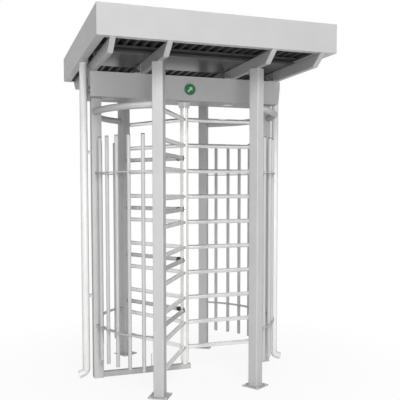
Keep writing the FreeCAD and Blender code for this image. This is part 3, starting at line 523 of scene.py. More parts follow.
class Effects:
    """Shared effects, each built once as a node group."""

    def __init__(self) -> None:
        """Build every effect."""
        self.mottle = self._mottle()
        self.peel = self._peel()
        self.brushing = self._brushing()
        self.low_dust = self._low_dust()
        self.rain_marks = self._rain_marks()

    @staticmethod
    def _mottle() -> Tree:
        """Cloudy value about one half, whose spread is the contrast.

        Returns:
            The node group.
        """
        sheet, at, out = shared_effect("mottle", "Value", "Scale", "Contrast")
        noise = sheet.noise(at["Vector"], at["Scale"], 4.0)
        spread = sheet.math("MULTIPLY", sheet.math("SUBTRACT", noise, 0.5), at["Contrast"])
        sheet.feed(out, "Value", sheet.math("ADD", spread, 0.5, clamp=True))
        return sheet.tree

    @staticmethod
    def _peel() -> Tree:
        """Height of the fine orange peel of a stoved powder coat, two noises of unlike size.

        Returns:
            The node group.
        """
        sheet, at, out = shared_effect("peel", "Height", "Scale")
        coarse = sheet.noise(at["Vector"], at["Scale"], 1.0)
        fine = sheet.noise(at["Vector"], sheet.math("MULTIPLY", at["Scale"], 3.7), 0.0)
        sheet.feed(out, "Height", sheet.math("ADD", coarse, sheet.math("MULTIPLY", fine, 0.35)))
        return sheet.tree

    @staticmethod
    def _brushing() -> Tree:
        """Fine lines along the first axis: noise that is drawn out on X and tight on Y and Z.

        Returns:
            The node group.
        """
        sheet, at, out = shared_effect("brushing", "Value", "Scale")
        drawn = sheet.add("ShaderNodeMapping", {"Vector": at["Vector"], "Scale": (0.03, 1.0, 1.0)})
        sheet.feed(out, "Value", sheet.noise(drawn.outputs[0], at["Scale"], 2.0))
        return sheet.tree

    @staticmethod
    def _low_dust() -> Tree:
        """Mask of the grime near the floor: strongest at height zero, broken up by noise.

        Returns:
            The node group.
        """
        sheet, at, out = shared_effect("low_dust", "Mask", "Reach", "Amount")
        split = sheet.add("ShaderNodeSeparateXYZ", {0: at["Vector"]})
        rise = sheet.math("DIVIDE", split.outputs[2], at["Reach"])
        fade = sheet.math("SUBTRACT", 1.0, rise, clamp=True)
        soft = sheet.math("MULTIPLY", sheet.math("POWER", fade, 2.0), sheet.noise(at["Vector"], 22.0, 5.0))
        sheet.feed(out, "Mask", sheet.math("MULTIPLY", soft, at["Amount"], clamp=True))
        return sheet.tree

    @staticmethod
    def _rain_marks() -> Tree:
        """Mask of faint upright marks that rain leaves: noise drawn out along Z, raised to a power.

        Returns:
            The node group.
        """
        sheet, at, out = shared_effect("rain_marks", "Mask", "Scale", "Amount")
        drawn = sheet.add("ShaderNodeMapping", {"Vector": at["Vector"], "Scale": (1.0, 1.0, 0.04)})
        sharp = sheet.math("POWER", sheet.noise(drawn.outputs[0], at["Scale"], 3.0), 3.0)
        sheet.feed(out, "Mask", sheet.math("MULTIPLY", sharp, at["Amount"], clamp=True))
        return sheet.tree


EFFECTS = Effects()
WHITE = (1.0, 1.0, 1.0)
GRIME = (0.36, 0.34, 0.31)
DRY_DUST = (0.4, 0.38, 0.35)
PALE_DUST = (0.42, 0.4, 0.36)


def blank_material(name: str) -> tuple[Material, Sheet, Node, Socket]:
    """New material with its shader and the piece's own coordinates.

    Args:
        name: Name of the material.

    Returns:
        The material, its sheet, its Principled shader and the Object coordinates.
    """
    material = bpy.data.materials.new(name)
    material.use_nodes = True
    sheet = Sheet(material.node_tree)
    shader = material.node_tree.nodes["Principled BSDF"]
    coords = sheet.add("ShaderNodeTexCoord").outputs["Object"]
    return material, sheet, shader, coords


def painted_edge_shade(sheet: Sheet, strength: float, sharpness: float) -> Socket:
    """Share of a darker colour, painted as shade, that a round surface takes where it turns away from view.

    Args:
        sheet: Sheet of the material.
        strength: Share at the very edge.
        sharpness: Power on the turn, higher for a narrower edge.

    Returns:
        The socket with the share.
    """
    turn = sheet.add("ShaderNodeLayerWeight", {"Blend": 0.5}).outputs["Facing"]
    return sheet.math("MULTIPLY", sheet.math("POWER", turn, sharpness), strength, clamp=True)


def shade(colour: Colour, factor: float = 1.0) -> tuple[float, float, float, float]:
    """Colour times a factor, with full alpha.

    Args:
        colour: Red, green and blue.
        factor: Factor on all three.

    Returns:
        Red, green, blue and alpha.
    """
    return (colour[0] * factor, colour[1] * factor, colour[2] * factor, 1.0)


@dataclass(frozen=True)
class PowderCoat:
    """Stoved paint on steel: even colour, fine peel, light rain marks, some grime at the foot, and painted
    edge shade if asked.
    """

    name: str
    colour: Colour
    roughness: float = 0.42
    spread: float = 0.05
    speckle: float = 0.12
    grime: float = 0.35
    marks: float = 0.25
    peel: float = 0.18
    edge: float = 0.0
    gloss: float = 0.45

    def material(self) -> Material:
        """Build the material.

        Returns:
            The material.
        """
        material, sheet, shader, coords = blank_material(self.name)
        cloud = sheet.effect(EFFECTS.mottle, coords, Scale=3.5, Contrast=1.6)
        low, high = shade(self.colour, 1.0 - self.spread), shade(self.colour, 1.0 + self.spread)
        body = sheet.mix(cloud, low, high)
        marks = sheet.effect(EFFECTS.rain_marks, coords, Scale=34.0, Amount=self.marks)
        body = sheet.mix(marks, body, shade(self.colour, 0.72))
        dust = sheet.effect(EFFECTS.low_dust, coords, Reach=0.35, Amount=self.grime)
        body = sheet.mix(dust, body, shade(GRIME))
        if self.edge:
            # painted shade: the coat darkens to a quarter of its colour where the surface turns away from
            # view
            body = sheet.mix(painted_edge_shade(sheet, self.edge, 2.5), body, shade(self.colour, 0.25))
        sheet.feed(shader, "Base Color", body)
        fine = sheet.effect(EFFECTS.mottle, coords, Scale=60.0, Contrast=1.2)
        rough = sheet.math("MULTIPLY", fine, self.speckle)
        rough = sheet.math("ADD", rough, self.roughness - self.speckle / 2.0)
        rough = sheet.math("ADD", rough, sheet.math("MULTIPLY", dust, 0.4), clamp=True)
        sheet.feed(shader, "Roughness", rough)
        sheet.bump(shader, sheet.effect(EFFECTS.peel, coords, Scale=420.0), self.peel, 0.4 * MM)
        shader.inputs["Specular IOR Level"].default_value = self.gloss
        return material


@dataclass(frozen=True)
class Stainless:
    """Brushed stainless steel: lines along the tube, a cloudy sheen, grime at the foot, and a dark outline
    of painted shade.
    """

    name: str
    grain: Grain
    colour: Colour = (0.93, 0.93, 0.915)
    roughness: float = 0.26
    peak: float = 0.12
    edge: float = 0.95

    def material(self) -> Material:
        """Build the material.

        Returns:
            The material.
        """
        material, sheet, shader, coords = blank_material(self.name)
        turn, tilt = (math.radians(a) for a in self.grain.value)
        along = sheet.add("ShaderNodeVectorRotate", {"Vector": coords, "Rotation": (0.0, tilt, -turn)},
                          rotation_type="EULER_XYZ").outputs[0]
        lines = sheet.effect(EFFECTS.brushing, along, Scale=900.0)
        cloud = sheet.effect(EFFECTS.mottle, coords, Scale=9.0, Contrast=1.5)
        body = sheet.mix(cloud, shade(self.colour, 0.93), shade(self.colour))
        body = sheet.mix(sheet.math("MULTIPLY", lines, 0.25), body, shade(self.colour, 0.8))
        dust = sheet.effect(EFFECTS.low_dust, coords, Reach=0.25, Amount=0.2)
        body = sheet.mix(dust, body, shade(DRY_DUST))
        # painted shade: the steel darkens to a tenth of its colour where its surface turns away from view
        body = sheet.mix(painted_edge_shade(sheet, self.edge, 3.0), body, shade(self.colour, 0.1))
        sheet.feed(shader, "Base Color", body)
        rough = sheet.math("MULTIPLY", lines, self.peak)
        rough = sheet.math("ADD", rough, sheet.math("MULTIPLY", cloud, 0.08))
        sheet.feed(shader, "Roughness", sheet.math("ADD", rough, self.roughness - 0.1, clamp=True))
        sheet.bump(shader, lines, 0.08, 0.2 * MM)
        shader.inputs["Metallic"].default_value = 1.0
        return material


@dataclass(frozen=True)
class PlainMetal:
    """Zinc, bronze or ground steel: metal with a fine cloudy bloom."""

    name: str
    colour: Colour
    roughness: float = 0.4
    bloom: float = 0.12
    scale: float = 45.0

    def material(self) -> Material:
        """Build the material.

        Returns:
            The material.
        """
        material, sheet, shader, coords = blank_material(self.name)
        cloud = sheet.effect(EFFECTS.mottle, coords, Scale=self.scale, Contrast=2.0)
        low, high = shade(self.colour, 1.0 - self.bloom), shade(self.colour, 1.0 + self.bloom / 2.0)
        sheet.feed(shader, "Base Color", sheet.mix(cloud, low, high))
        rough = sheet.math("MULTIPLY", cloud, 0.2)
        sheet.feed(shader, "Roughness", sheet.math("ADD", rough, self.roughness - 0.1))
        sheet.bump(shader, cloud, 0.05, 0.3 * MM)
        shader.inputs["Metallic"].default_value = 1.0
        return material


@dataclass(frozen=True)
class Moulded:
    """Moulded or extruded plastic: even colour, soft grain, faint dulling by weather, and painted edge
    shade if asked.
    """

    name: str
    colour: Colour
    roughness: float = 0.4
    grain: float = 0.1
    fading: float = 0.08
    coat: float = 0.0
    edge: float = 0.0

    def material(self) -> Material:
        """Build the material.

        Returns:
            The material.
        """
        material, sheet, shader, coords = blank_material(self.name)
        cloud = sheet.effect(EFFECTS.mottle, coords, Scale=12.0, Contrast=1.8)
        low, high = shade(self.colour, 1.0 - self.fading), shade(self.colour, 1.0 + self.fading)
        dust = sheet.effect(EFFECTS.low_dust, coords, Reach=0.3, Amount=0.5)
        body = sheet.mix(cloud, low, high)
        body = sheet.mix(dust, body, shade(PALE_DUST))
        # painted shade: if asked, the plastic darkens where its surface turns away from view
        if self.edge:
            body = sheet.mix(painted_edge_shade(sheet, self.edge, 2.2), body, shade(self.colour, 0.2))
        sheet.feed(shader, "Base Color", body)
        rough = sheet.math("MULTIPLY", cloud, 0.1)
        sheet.feed(shader, "Roughness", sheet.math("ADD", rough, self.roughness - 0.05))
        sheet.bump(shader, sheet.effect(EFFECTS.peel, coords, Scale=900.0), self.grain, 0.2 * MM)
        shader.inputs["Coat Weight"].default_value = self.coat
        return material


@dataclass(frozen=True)
class Lit:
    """Plastic that glows: a lamp's diffuser or the lit sign, its glow dimmed by painted shade left of the
    middle if asked.
    """

    name: str
    colour: Colour
    glow: float
    left_shade_share: float = 1.0

    def material(self) -> Material:
        """Build the material.

        Returns:
            The material.
        """
        material, sheet, shader, coords = blank_material(self.name)
        cloud = sheet.effect(EFFECTS.mottle, coords, Scale=60.0, Contrast=1.5)
        body = sheet.mix(cloud, shade(self.colour, 0.92), shade(self.colour))
        sheet.feed(shader, "Base Color", body)
        # painted shade: left of the middle the glow drops to a share of its colour
        if self.left_shade_share < 1.0:
            across = sheet.add("ShaderNodeSeparateXYZ", {"Vector": coords}).outputs["X"]
            right = sheet.math("GREATER_THAN", across, 0.0)
            body = sheet.mix(right, shade(self.colour, self.left_shade_share), body)
        sheet.feed(shader, "Emission Color", body)
        shader.inputs["Emission Strength"].default_value = self.glow
        shader.inputs["Roughness"].default_value = 0.35
        return material


def ready(finish: PowderCoat | PlainMetal | Moulded | Lit) -> Material:
    """Field of the palette that builds its material when the palette is made.

    Args:
        finish: Finish of the material.

    Returns:
        The field, which stands for the ready material.
    """
    return field(default_factory=finish.material)


@dataclass
class Palette:
    """Ready materials of the coated steel, the fixings, the plastic parts and the small trims."""

    # painted shade: the frame coat darkens where its surface turns away from view
    frame_coat: Material = ready(PowderCoat("frame_coat", (0.62, 0.62, 0.625), edge=0.85))
    canopy_coat: Material = ready(PowderCoat("canopy_coat", (0.51, 0.51, 0.515), marks=0.12, grime=0.0))
    # painted shade: the purlins and the soffit on them are near black for the shade under the roof
    underside_shade_coat: Material = ready(PowderCoat("underside_shade_coat", (0.1, 0.1, 0.104), roughness=0.3, speckle=0.01,
                                            marks=0.0, grime=0.0, peel=0.0, gloss=0.35))
    # painted shade: the deck is near black for the shade under the roof
    deck_coat: Material = ready(PowderCoat("deck_coat", (0.05, 0.05, 0.052), 0.55, spread=0.12))
    weld: Material = ready(PowderCoat("weld_coat", (0.56, 0.56, 0.565), 0.5, spread=0.1, peel=0.5))
    zinc: Material = ready(PlainMetal("zinc", (0.68, 0.69, 0.70), roughness=0.42))
    caps: Material = ready(Moulded("cap_plastic", (0.035, 0.035, 0.038), roughness=0.5, grain=0.3))
    # painted shade: the pipes get a dark outline where they turn away from view
    pipes: Material = ready(Moulded("pipe_white", (0.93, 0.93, 0.91), roughness=0.25, fading=0.02,
                                    coat=0.5, edge=0.9))
    chrome: Material = ready(PlainMetal("lock_chrome", (0.6, 0.6, 0.61), roughness=0.18, bloom=0.05))
    lock_dark: Material = ready(PlainMetal("lock_dark", (0.16, 0.16, 0.17), roughness=0.4, bloom=0.1))
    lamp_rim: Material = ready(PowderCoat("lamp_rim", (0.62, 0.62, 0.62), roughness=0.3))
    # painted highlight: a faint green glow for the bright ring round the sign
    sign_glint_glow: Material = ready(Lit("sign_glint_glow", (0.10, 0.45, 0.16), 0.2))

    @staticmethod
    def dress(node: str, material: Material) -> None:
        """Give a construction node its finish.

        Args:
            node: Name of the node.
            material: Finish of the node.
        """
        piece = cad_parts[node]
        if not piece.material_slots:
            piece.data.materials.append(material)
        for place in piece.material_slots:
            place.material = material
        LOG.info("node %s: %s", node, material.name)


@dataclass
class Cage:
    """Posts, base plates, sill, top ring, rails, bars and the fixed combs."""

    palette: Palette
    post: float = 75.0 * MM
    post_corner: float = 6.0 * MM
    foot_bead: float = 3.0 * MM
    anchor_spacing: float = 110.0 * MM
    bars_per_span: int = 5
    comb_count: int = 4
    comb_tip: float = 56.0 * MM
    ring_tube: float = 48.3 * MM
    ring_circle: float = 700.0 * MM
    bead: float = 2.2 * MM
    tube_radius: float = 16.85 * MM
    bar_radius: float = 13.45 * MM
    bar_bead: float = 1.6 * MM
    rail_thick: float = 8.0 * MM
    corner_angles: dict[Corner, float] = field(init=False)
    circle: float = field(init=False)
    plate_top: float = field(init=False)

    def __post_init__(self) -> None:
        """Read the posts' places from the frame."""
        self.corner_angles = {}
        for corner in Corner:
            middle = centre_of("post_" + corner.value)
            self.corner_angles[corner] = math.degrees(math.atan2(middle[1], middle[0]))
            self.circle = float(np.hypot(middle[0], middle[1]))
        self.plate_top = float(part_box("base_plates")[1][2])

    def facing(self, *corners: Corner) -> list[tuple[np.ndarray, np.ndarray]]:
        """For each corner, the direction away from the rotor and the one along its post's face."""
        outward = [unit(on_circle(self.corner_angles[corner], 1.0)) for corner in corners]
        return [(out, np.cross(UP, out)) for out in outward]

    def build(self) -> None:
        """Dress the nodes and add the welds, plugs, sleeves and anchors."""
        for corner in Corner:
            self.palette.dress("post_" + corner.value, self.palette.frame_coat)
        for side in Side:
            for stem in ("post_", "ring_", "cage_rails_", "cage_bars_"):
                self.palette.dress(stem + side.word, self.palette.frame_coat)
        self.palette.dress("base_plates", self.palette.frame_coat)
        self.palette.dress("sill_beam", self.palette.frame_coat)
        self.palette.dress("sill_stud", self.palette.zinc)
        # painted shade: the combs take a darker copy of the rotor's stainless
        front = Stainless("comb_front_shaded_steel", Grain.COMB_FRONT, (0.56, 0.56, 0.555)).material()
        rear = Stainless("comb_rear_shaded_steel", Grain.COMB_REAR, (0.56, 0.56, 0.555)).material()
        self.palette.dress("comb_front", front)
        self.palette.dress("comb_rear", rear)
        self.palette.dress("comb_end_caps", self.palette.caps)
        self.post_welds()
        self.ring_welds()
        self.bar_welds()
        self.bar_plugs()
        self.comb_welds()
        self.comb_bumpers()
        self.anchors()

    def post_welds(self) -> None:
        """Fillet weld round the foot of each corner post, a bead along a rounded square."""
        shells = []
        for out, side in self.facing(*Corner):
            foot = out * self.circle + UP * self.plate_top
            path, away = box_path(foot, out, side, self.post / 2.0, self.post / 2.0, self.post_corner)
            shells.append(bead(path, away, self.foot_bead))
        make_piece("post_foot_welds", shells, "frame", self.palette.weld)

    def ring_welds(self) -> None:
        """Round beads where the top ring meets the sides of the posts."""
        low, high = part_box("ring_left")
        height = (high[2] + low[2]) / 2.0
        shells = []
        for angle, way in self.post_faces():
            out = unit(on_circle(angle, 1.0))
            side = np.cross(UP, out) * way
            reach = math.sqrt(self.ring_circle ** 2 - (self.post / 2.0) ** 2)
            centre = out * reach + side * self.post / 2.0 + UP * height
            path, away = round_path(centre, out, UP, self.ring_tube / 2.0)
            shells.append(bead(path, away, self.bead))
        make_piece("ring_welds", shells, "frame", self.palette.weld)

    def post_faces(self) -> list[tuple[float, float]]:
        """Post faces that the top ring meets.

        Returns:
            Angle of each post, and the side of it, 1 or -1, on which the cage goes on.
        """
        faces = [(0.0, 1.0), (0.0, -1.0), (180.0, 1.0), (180.0, -1.0)]
        for corner, way in zip(Corner, (-1.0, 1.0, 1.0, -1.0)):
            faces.append((self.corner_angles[corner], way))
        return faces

    def bar_angles(self, side: Side) -> np.ndarray:
        """Angles of the upright bars of one side, evenly between the posts.

        Args:
            side: Side of the cage.

        Returns:
            Angles in degrees.
        """
        corner = Corner.REAR_LEFT if side is Side.LEFT else Corner.REAR_RIGHT
        sweep = 180.0 - self.corner_angles[corner] if side is Side.LEFT else self.corner_angles[corner]
        middle = 180.0 if side is Side.LEFT else 0.0
        share = np.arange(1, self.bars_per_span + 1) / (self.bars_per_span + 1)
        return np.concatenate([middle - sweep * share, middle + sweep * share])

    def bar_welds(self) -> None:
        """Small beads above and below each rail where a bar passes through it."""
        for side in Side:
            low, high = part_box("cage_rails_" + side.word)
            levels = [low[2], low[2] + self.rail_thick, high[2] - self.rail_thick, high[2]]
            shells = []
            for angle in self.bar_angles(side):
                for level in levels:
                    centre = on_circle(float(angle), self.circle, level)
                    path, away = round_path(centre, ALONG, DEEP, self.bar_radius, 20)
                    shells.append(bead(path, away, self.bar_bead, 6))
            make_piece("bar_welds_" + side.word, shells, "frame", self.palette.weld)

    def bar_plugs(self) -> None:
        """Plastic plugs in the open tops of the bars: a turned profile with a rounded rim."""
        rim = arc_points((12.0, 2.4), 1.8, 0.0, 90.0, 6)
        stem = np.array([[0.0, -8.0], [10.6, -8.0], [11.0, 0.2], [13.6, 0.2]])
        profile = np.concatenate([stem, rim, [[0.0, 5.0]]]) * MM
        for side in Side:
            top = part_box("cage_bars_" + side.word)[1][2]
            shells = [revolve(profile, on_circle(float(angle), self.circle, top), UP, 24)
                      for angle in self.bar_angles(side)]
            make_piece("bar_plugs_" + side.word, shells, "frame", self.palette.caps)

    def comb_levels(self) -> np.ndarray:
        """Heights of the comb tubes, from the box of the comb."""
        low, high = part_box("comb_front")
        return np.linspace(low[2] + self.tube_radius, high[2] - self.tube_radius, self.comb_count)

    def comb_welds(self) -> None:
        """Round beads where the comb tubes meet their posts."""
        shells = []
        for out, side in self.facing(Corner.FRONT_LEFT, Corner.REAR_LEFT):
            for level in self.comb_levels():
                centre = out * (self.circle - self.post / 2.0) + UP * level
                path, away = round_path(centre, side, UP, self.tube_radius)
                shells.append(bead(path, away, self.bead))
        make_piece("comb_welds", shells, "frame", self.palette.weld)

    def comb_bumpers(self) -> None:
        """Soft sleeves over the comb's end caps: a turned profile whose nose is a quarter ellipse."""
        turn = np.linspace(0.0, math.pi / 2.0, 7)
        nose = np.stack([18.9 * np.cos(turn), 6.0 * np.sin(turn)], axis=-1)
        sleeve = np.array([[18.2, -14.0], [18.7, -13.4], [18.9, -12.0]])
        profile = np.concatenate([[[0.0, -14.0]], sleeve, nose]) * MM
        shells = []
        for out, _ in self.facing(Corner.FRONT_LEFT, Corner.REAR_LEFT):
            for level in self.comb_levels():
                shells.append(revolve(profile, out * self.comb_tip + UP * level, -out, 28))
        make_piece("comb_bumpers", shells, "frame", self.palette.caps)

    def anchors(self) -> None:
        """Floor anchors in the base plates: a washer and a low round head with a hexagon socket."""
        shells = []
        for out, side in self.facing(*Corner):
            foot = out * self.circle + UP * self.plate_top
            for a in (-0.5, 0.5):
                for b in (-0.5, 0.5):
                    shells += self.anchor(foot + (a * out + b * side) * self.anchor_spacing)
        make_piece("floor_anchors", shells, "frame", self.palette.zinc, HEAD_CREASE)

    @staticmethod
    def anchor(place: np.ndarray) -> list[Shell]:
        """Shells of one anchor; the head's edge is a quarter ellipse, and the socket sinks into its top.

        Args:
            place: Centre of the hole on top of the plate.

        Returns:
            The shells of washer and head.
        """
        washer = np.array([[0.0, 0.0], [12.0, 0.0], [12.0, 1.2], [11.6, 1.6], [0.0, 1.6]]) * MM
        turn = np.linspace(0.0, math.pi / 2.0, 7)
        edge = np.stack([5.2 + 4.2 * np.cos(turn), 2.6 + 1.8 * np.sin(turn)], axis=-1)
        head = np.concatenate([[[0.0, 1.6], [9.2, 1.6]], edge, [[4.0, 4.3], [3.7, 2.2], [0.0, 2.2]]]) * MM
        return [revolve(washer, place, UP, 28), revolve(head, place, UP, 28)]


@dataclass
class Rotor:
    """Column, three wings of level arms, the cone under the header and the foot bearing."""

    palette: Palette
    arms: int = 10
    column_radius: float = 32.0 * MM
    arm_radius: float = 16.85 * MM
    bead: float = 2.4 * MM
    wing_step: float = 120.0

    def build(self) -> None:
        """Dress the nodes and add the welds of the arms."""
        self.palette.dress("rotor_column", Stainless("column_steel", Grain.UPRIGHT).material())
        # painted shade: the cone under the header takes a darker copy of the column's stainless
        cone = Stainless("cone_shaded_steel", Grain.UPRIGHT, (0.6, 0.6, 0.59))
        self.palette.dress("bearing_cap", cone.material())
        self.palette.dress("foot_cup", Stainless("cup_steel", Grain.UPRIGHT, roughness=0.35).material())
        self.palette.dress("foot_bush", PlainMetal("bronze", (0.62, 0.42, 0.2), roughness=0.35).material())
        weld = Stainless("weld_steel", Grain.UPRIGHT, colour=(0.74, 0.74, 0.73), roughness=0.42).material()
        for wing, grain in enumerate((Grain.WING_1, Grain.WING_2, Grain.WING_3), start=1):
            name = "rotor_wing_%d" % wing
            self.palette.dress(name, Stainless(name + "_steel", grain).material())
            self.arm_welds(wing, weld)

    def arm_welds(self, wing: int, weld: Material) -> None:
        """Beads along the saddle where round arms meet the round column.

        With a round the arm's axis, the point lies r cos a to the side, r sin a up, and
        sqrt(R * R - (r cos a) ** 2) out from the column's axis.

        Args:
            wing: Number of the wing, from 1.
            weld: Finish of the beads.
        """
        low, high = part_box("rotor_wing_%d" % wing)
        levels = np.linspace(low[2] + self.arm_radius, high[2] - self.arm_radius, self.arms)
        out = on_circle(self.wing_step * (wing - 1), 1.0)
        side = np.cross(UP, out)
        ring, away = round_path(np.zeros(3), side, UP, self.arm_radius)
        reach = np.sqrt(self.column_radius ** 2 - (ring @ side) ** 2)
        saddle = reach[:, None] * out + ring
        shells = [bead(saddle + level * UP, away, self.bead) for level in levels]
        make_piece("arm_welds_%d" % wing, shells, "rotor", weld)


@dataclass
class Header:
    """Header box with its cover, locks, lamps, sign and the mechanism inside."""

    palette: Palette
    plate_top: float = 13.0 * MM
    bolt_inset: float = 18.0 * MM
    box_length: float = 200.0 * MM
    right_taper: float = 0.0945
    screw_inset: float = 9.0 * MM
    end_screw_places: tuple[float, float, float] = (-20.0 * MM, 60.0 * MM, 130.0 * MM)
    end_screw_drop: float = 14.0 * MM
    end_screw_width: float = 10.0 * MM
    lid_screw_width: float = 7.0 * MM
    plate_thread: float = 8.0 * MM
    lock_radius: float = 11.0 * MM
    pin_radius: float = 4.0 * MM
    clip_sink: float = 0.4 * MM
    lamp_bay: float = 50.0 * MM
    sign_glint_bead: float = 1.0 * MM

    def build(self) -> None:
        """Dress the nodes and add trims."""
        for node in ("header_shell", "header_end_left", "header_end_right", "header_front_cover"):
            self.palette.dress(node, self.palette.frame_coat)
        for node in ("bearing_plate", "index_disc", "drive_gear", "damper_pinion", "lock_pawl_left",
                     "lock_pawl_right", "plunger_left", "plunger_right", "cover_hinge_pin"):
            self.palette.dress(node, self.palette.zinc)
        for node in ("cover_lock_lower", "cover_lock_upper"):
            self.palette.dress(node, self.palette.lock_dark)
        self.palette.dress("top_bearing", self.palette.chrome)
        finishes = {
            "damper_body": PlainMetal("damper_alloy", (0.7, 0.7, 0.72)),
            "solenoids": Moulded("coil_plastic", (0.05, 0.05, 0.055)),
            "controller_box": Moulded("control_plastic", (0.42, 0.44, 0.45)),
            "lamp_housings": PowderCoat("lamp_white", (0.6, 0.6, 0.6), roughness=0.3),
            # painted shade: the left lamp glows at a fifth of the right one's colour
            "lamp_lenses": Lit("lamp_opal", (0.9, 0.9, 0.87), 1.3, left_shade_share=0.2),
            "indicator_bezel": Moulded("sign_rim", (0.012, 0.07, 0.025), 0.3, coat=0.5),
            "indicator_lens": Lit("sign_field", (0.02, 0.12, 0.04), 0.25),
            "indicator_arrow": Lit("sign_arrow", (0.22, 0.62, 0.30), 0.28),
        }
        for node, finish in finishes.items():
            self.palette.dress(node, finish.material())
        self.lock_rings()
        self.end_screws()
        self.plate_bolts()
        self.lid_screws()
        self.lamp_rims()
        self.sign_glint_ring()

    def lock_rings(self) -> None:
        """Dark chrome rings under the heads of the two cover locks: a rounded ring turned about X."""
        arc = arc_points((13.0, 0.0), 2.2, 0.0, 180.0, 7)
        profile = np.concatenate([[[10.5, 0.0]], arc[::-1], [[15.2, -0.2]]]) * MM
        shells = []
        for node in ("cover_lock_lower", "cover_lock_upper"):
            low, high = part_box(node)
            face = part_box("header_end_left")[0][0]
            middle = np.array([face, high[1] - self.lock_radius, low[2] + self.lock_radius])
            shells.append(revolve(profile, middle, -ALONG, closed=True))
        make_piece("lock_rings", shells, "frame", self.palette.lock_dark)

    def end_screws(self) -> None:
        """Round-headed screws of the end plates, and clips on the ends of the hinge pin."""
        shells = []
        for side in Side:
            low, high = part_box("header_end_" + side.word)
            out = np.array([side.value, 0.0, 0.0])
            face = low[0] if side is Side.LEFT else high[0]
            for y in self.end_screw_places:
                place = np.array([face, y, high[2] - self.end_screw_drop])
                shells.append(dome(place, out, self.end_screw_width))
        profile = np.array([[0.0, 0.0], [6.5, 0.0], [7.2, 0.5], [6.6, 1.3], [4.4, 2.2], [0.0, 2.2]]) * MM
        low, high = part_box("cover_hinge_pin")
        middle = np.array([low[0], low[1] + self.pin_radius, (low[2] + high[2]) / 2.0])
        shells.append(revolve(profile, middle, -ALONG))
        middle = middle + (high[0] - low[0] - self.clip_sink) * ALONG
        shells.append(revolve(profile, middle, ALONG - self.right_taper * UP))
        make_piece("end_plate_screws", shells, "frame", self.palette.zinc)

    def plate_bolts(self) -> None:
        """Bolts at the corners of the bearing plate, standing on its top."""
        low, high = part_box("bearing_plate")
        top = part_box("header_shell")[0][2] + self.plate_top
        shells = []
        for x in (low[0] + self.bolt_inset, high[0] - self.bolt_inset):
            for y in (low[1] + self.bolt_inset, high[1] - self.bolt_inset):
                shells += bolt(np.array([x, y, top]), UP, self.plate_thread)
        make_piece("bearing_plate_bolts", shells, "frame", self.palette.zinc, HEAD_CREASE)

    def lid_screws(self) -> None:
        """Screws at the corners of the control box's lid."""
        low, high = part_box("controller_box")
        shells = []
        for x in (high[0] - self.box_length + self.screw_inset, high[0] - self.screw_inset):
            for y in (low[1] + self.screw_inset, high[1] - self.screw_inset):
                shells.append(dome(np.array([x, y, high[2]]), UP, self.lid_screw_width))
        make_piece("controller_screws", shells, "frame", self.palette.zinc)

    def lamp_rims(self) -> None:
        """Turned rims under the two lamp flanges: a half round that hangs from the flange."""
        arc = arc_points((41.0, 0.0), 2.6, 180.0, 360.0, 9)
        profile = np.concatenate([arc, [[43.6, 0.3], [38.4, 0.3]]]) * MM
        low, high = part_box("lamp_housings")
        radius = (high[1] - low[1] - self.lamp_bay) / 2.0
        shells = []
        for x, y in ((low[0] + radius, low[1] + radius), (high[0] - radius, high[1] - radius)):
            shells.append(revolve(profile, np.array([x, y, low[2]]), UP, 48, closed=True))
        make_piece("lamp_rims", shells, "frame", self.palette.lamp_rim)

    def sign_glint_ring(self) -> None:
        """Painted highlight: a thin glowing ring where the sign's rim meets its field, a small bead on a
        circle.
        """
        low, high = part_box("indicator_lens")
        centre = np.array([(low[0] + high[0]) / 2.0, low[1], (low[2] + high[2]) / 2.0])
        path, away = round_path(centre, ALONG, UP, (high[0] - low[0]) / 2.0, 72)
        make_piece("sign_glint_ring", [bead(path, away, self.sign_glint_bead)], "header_cover",
                   self.palette.sign_glint_glow)


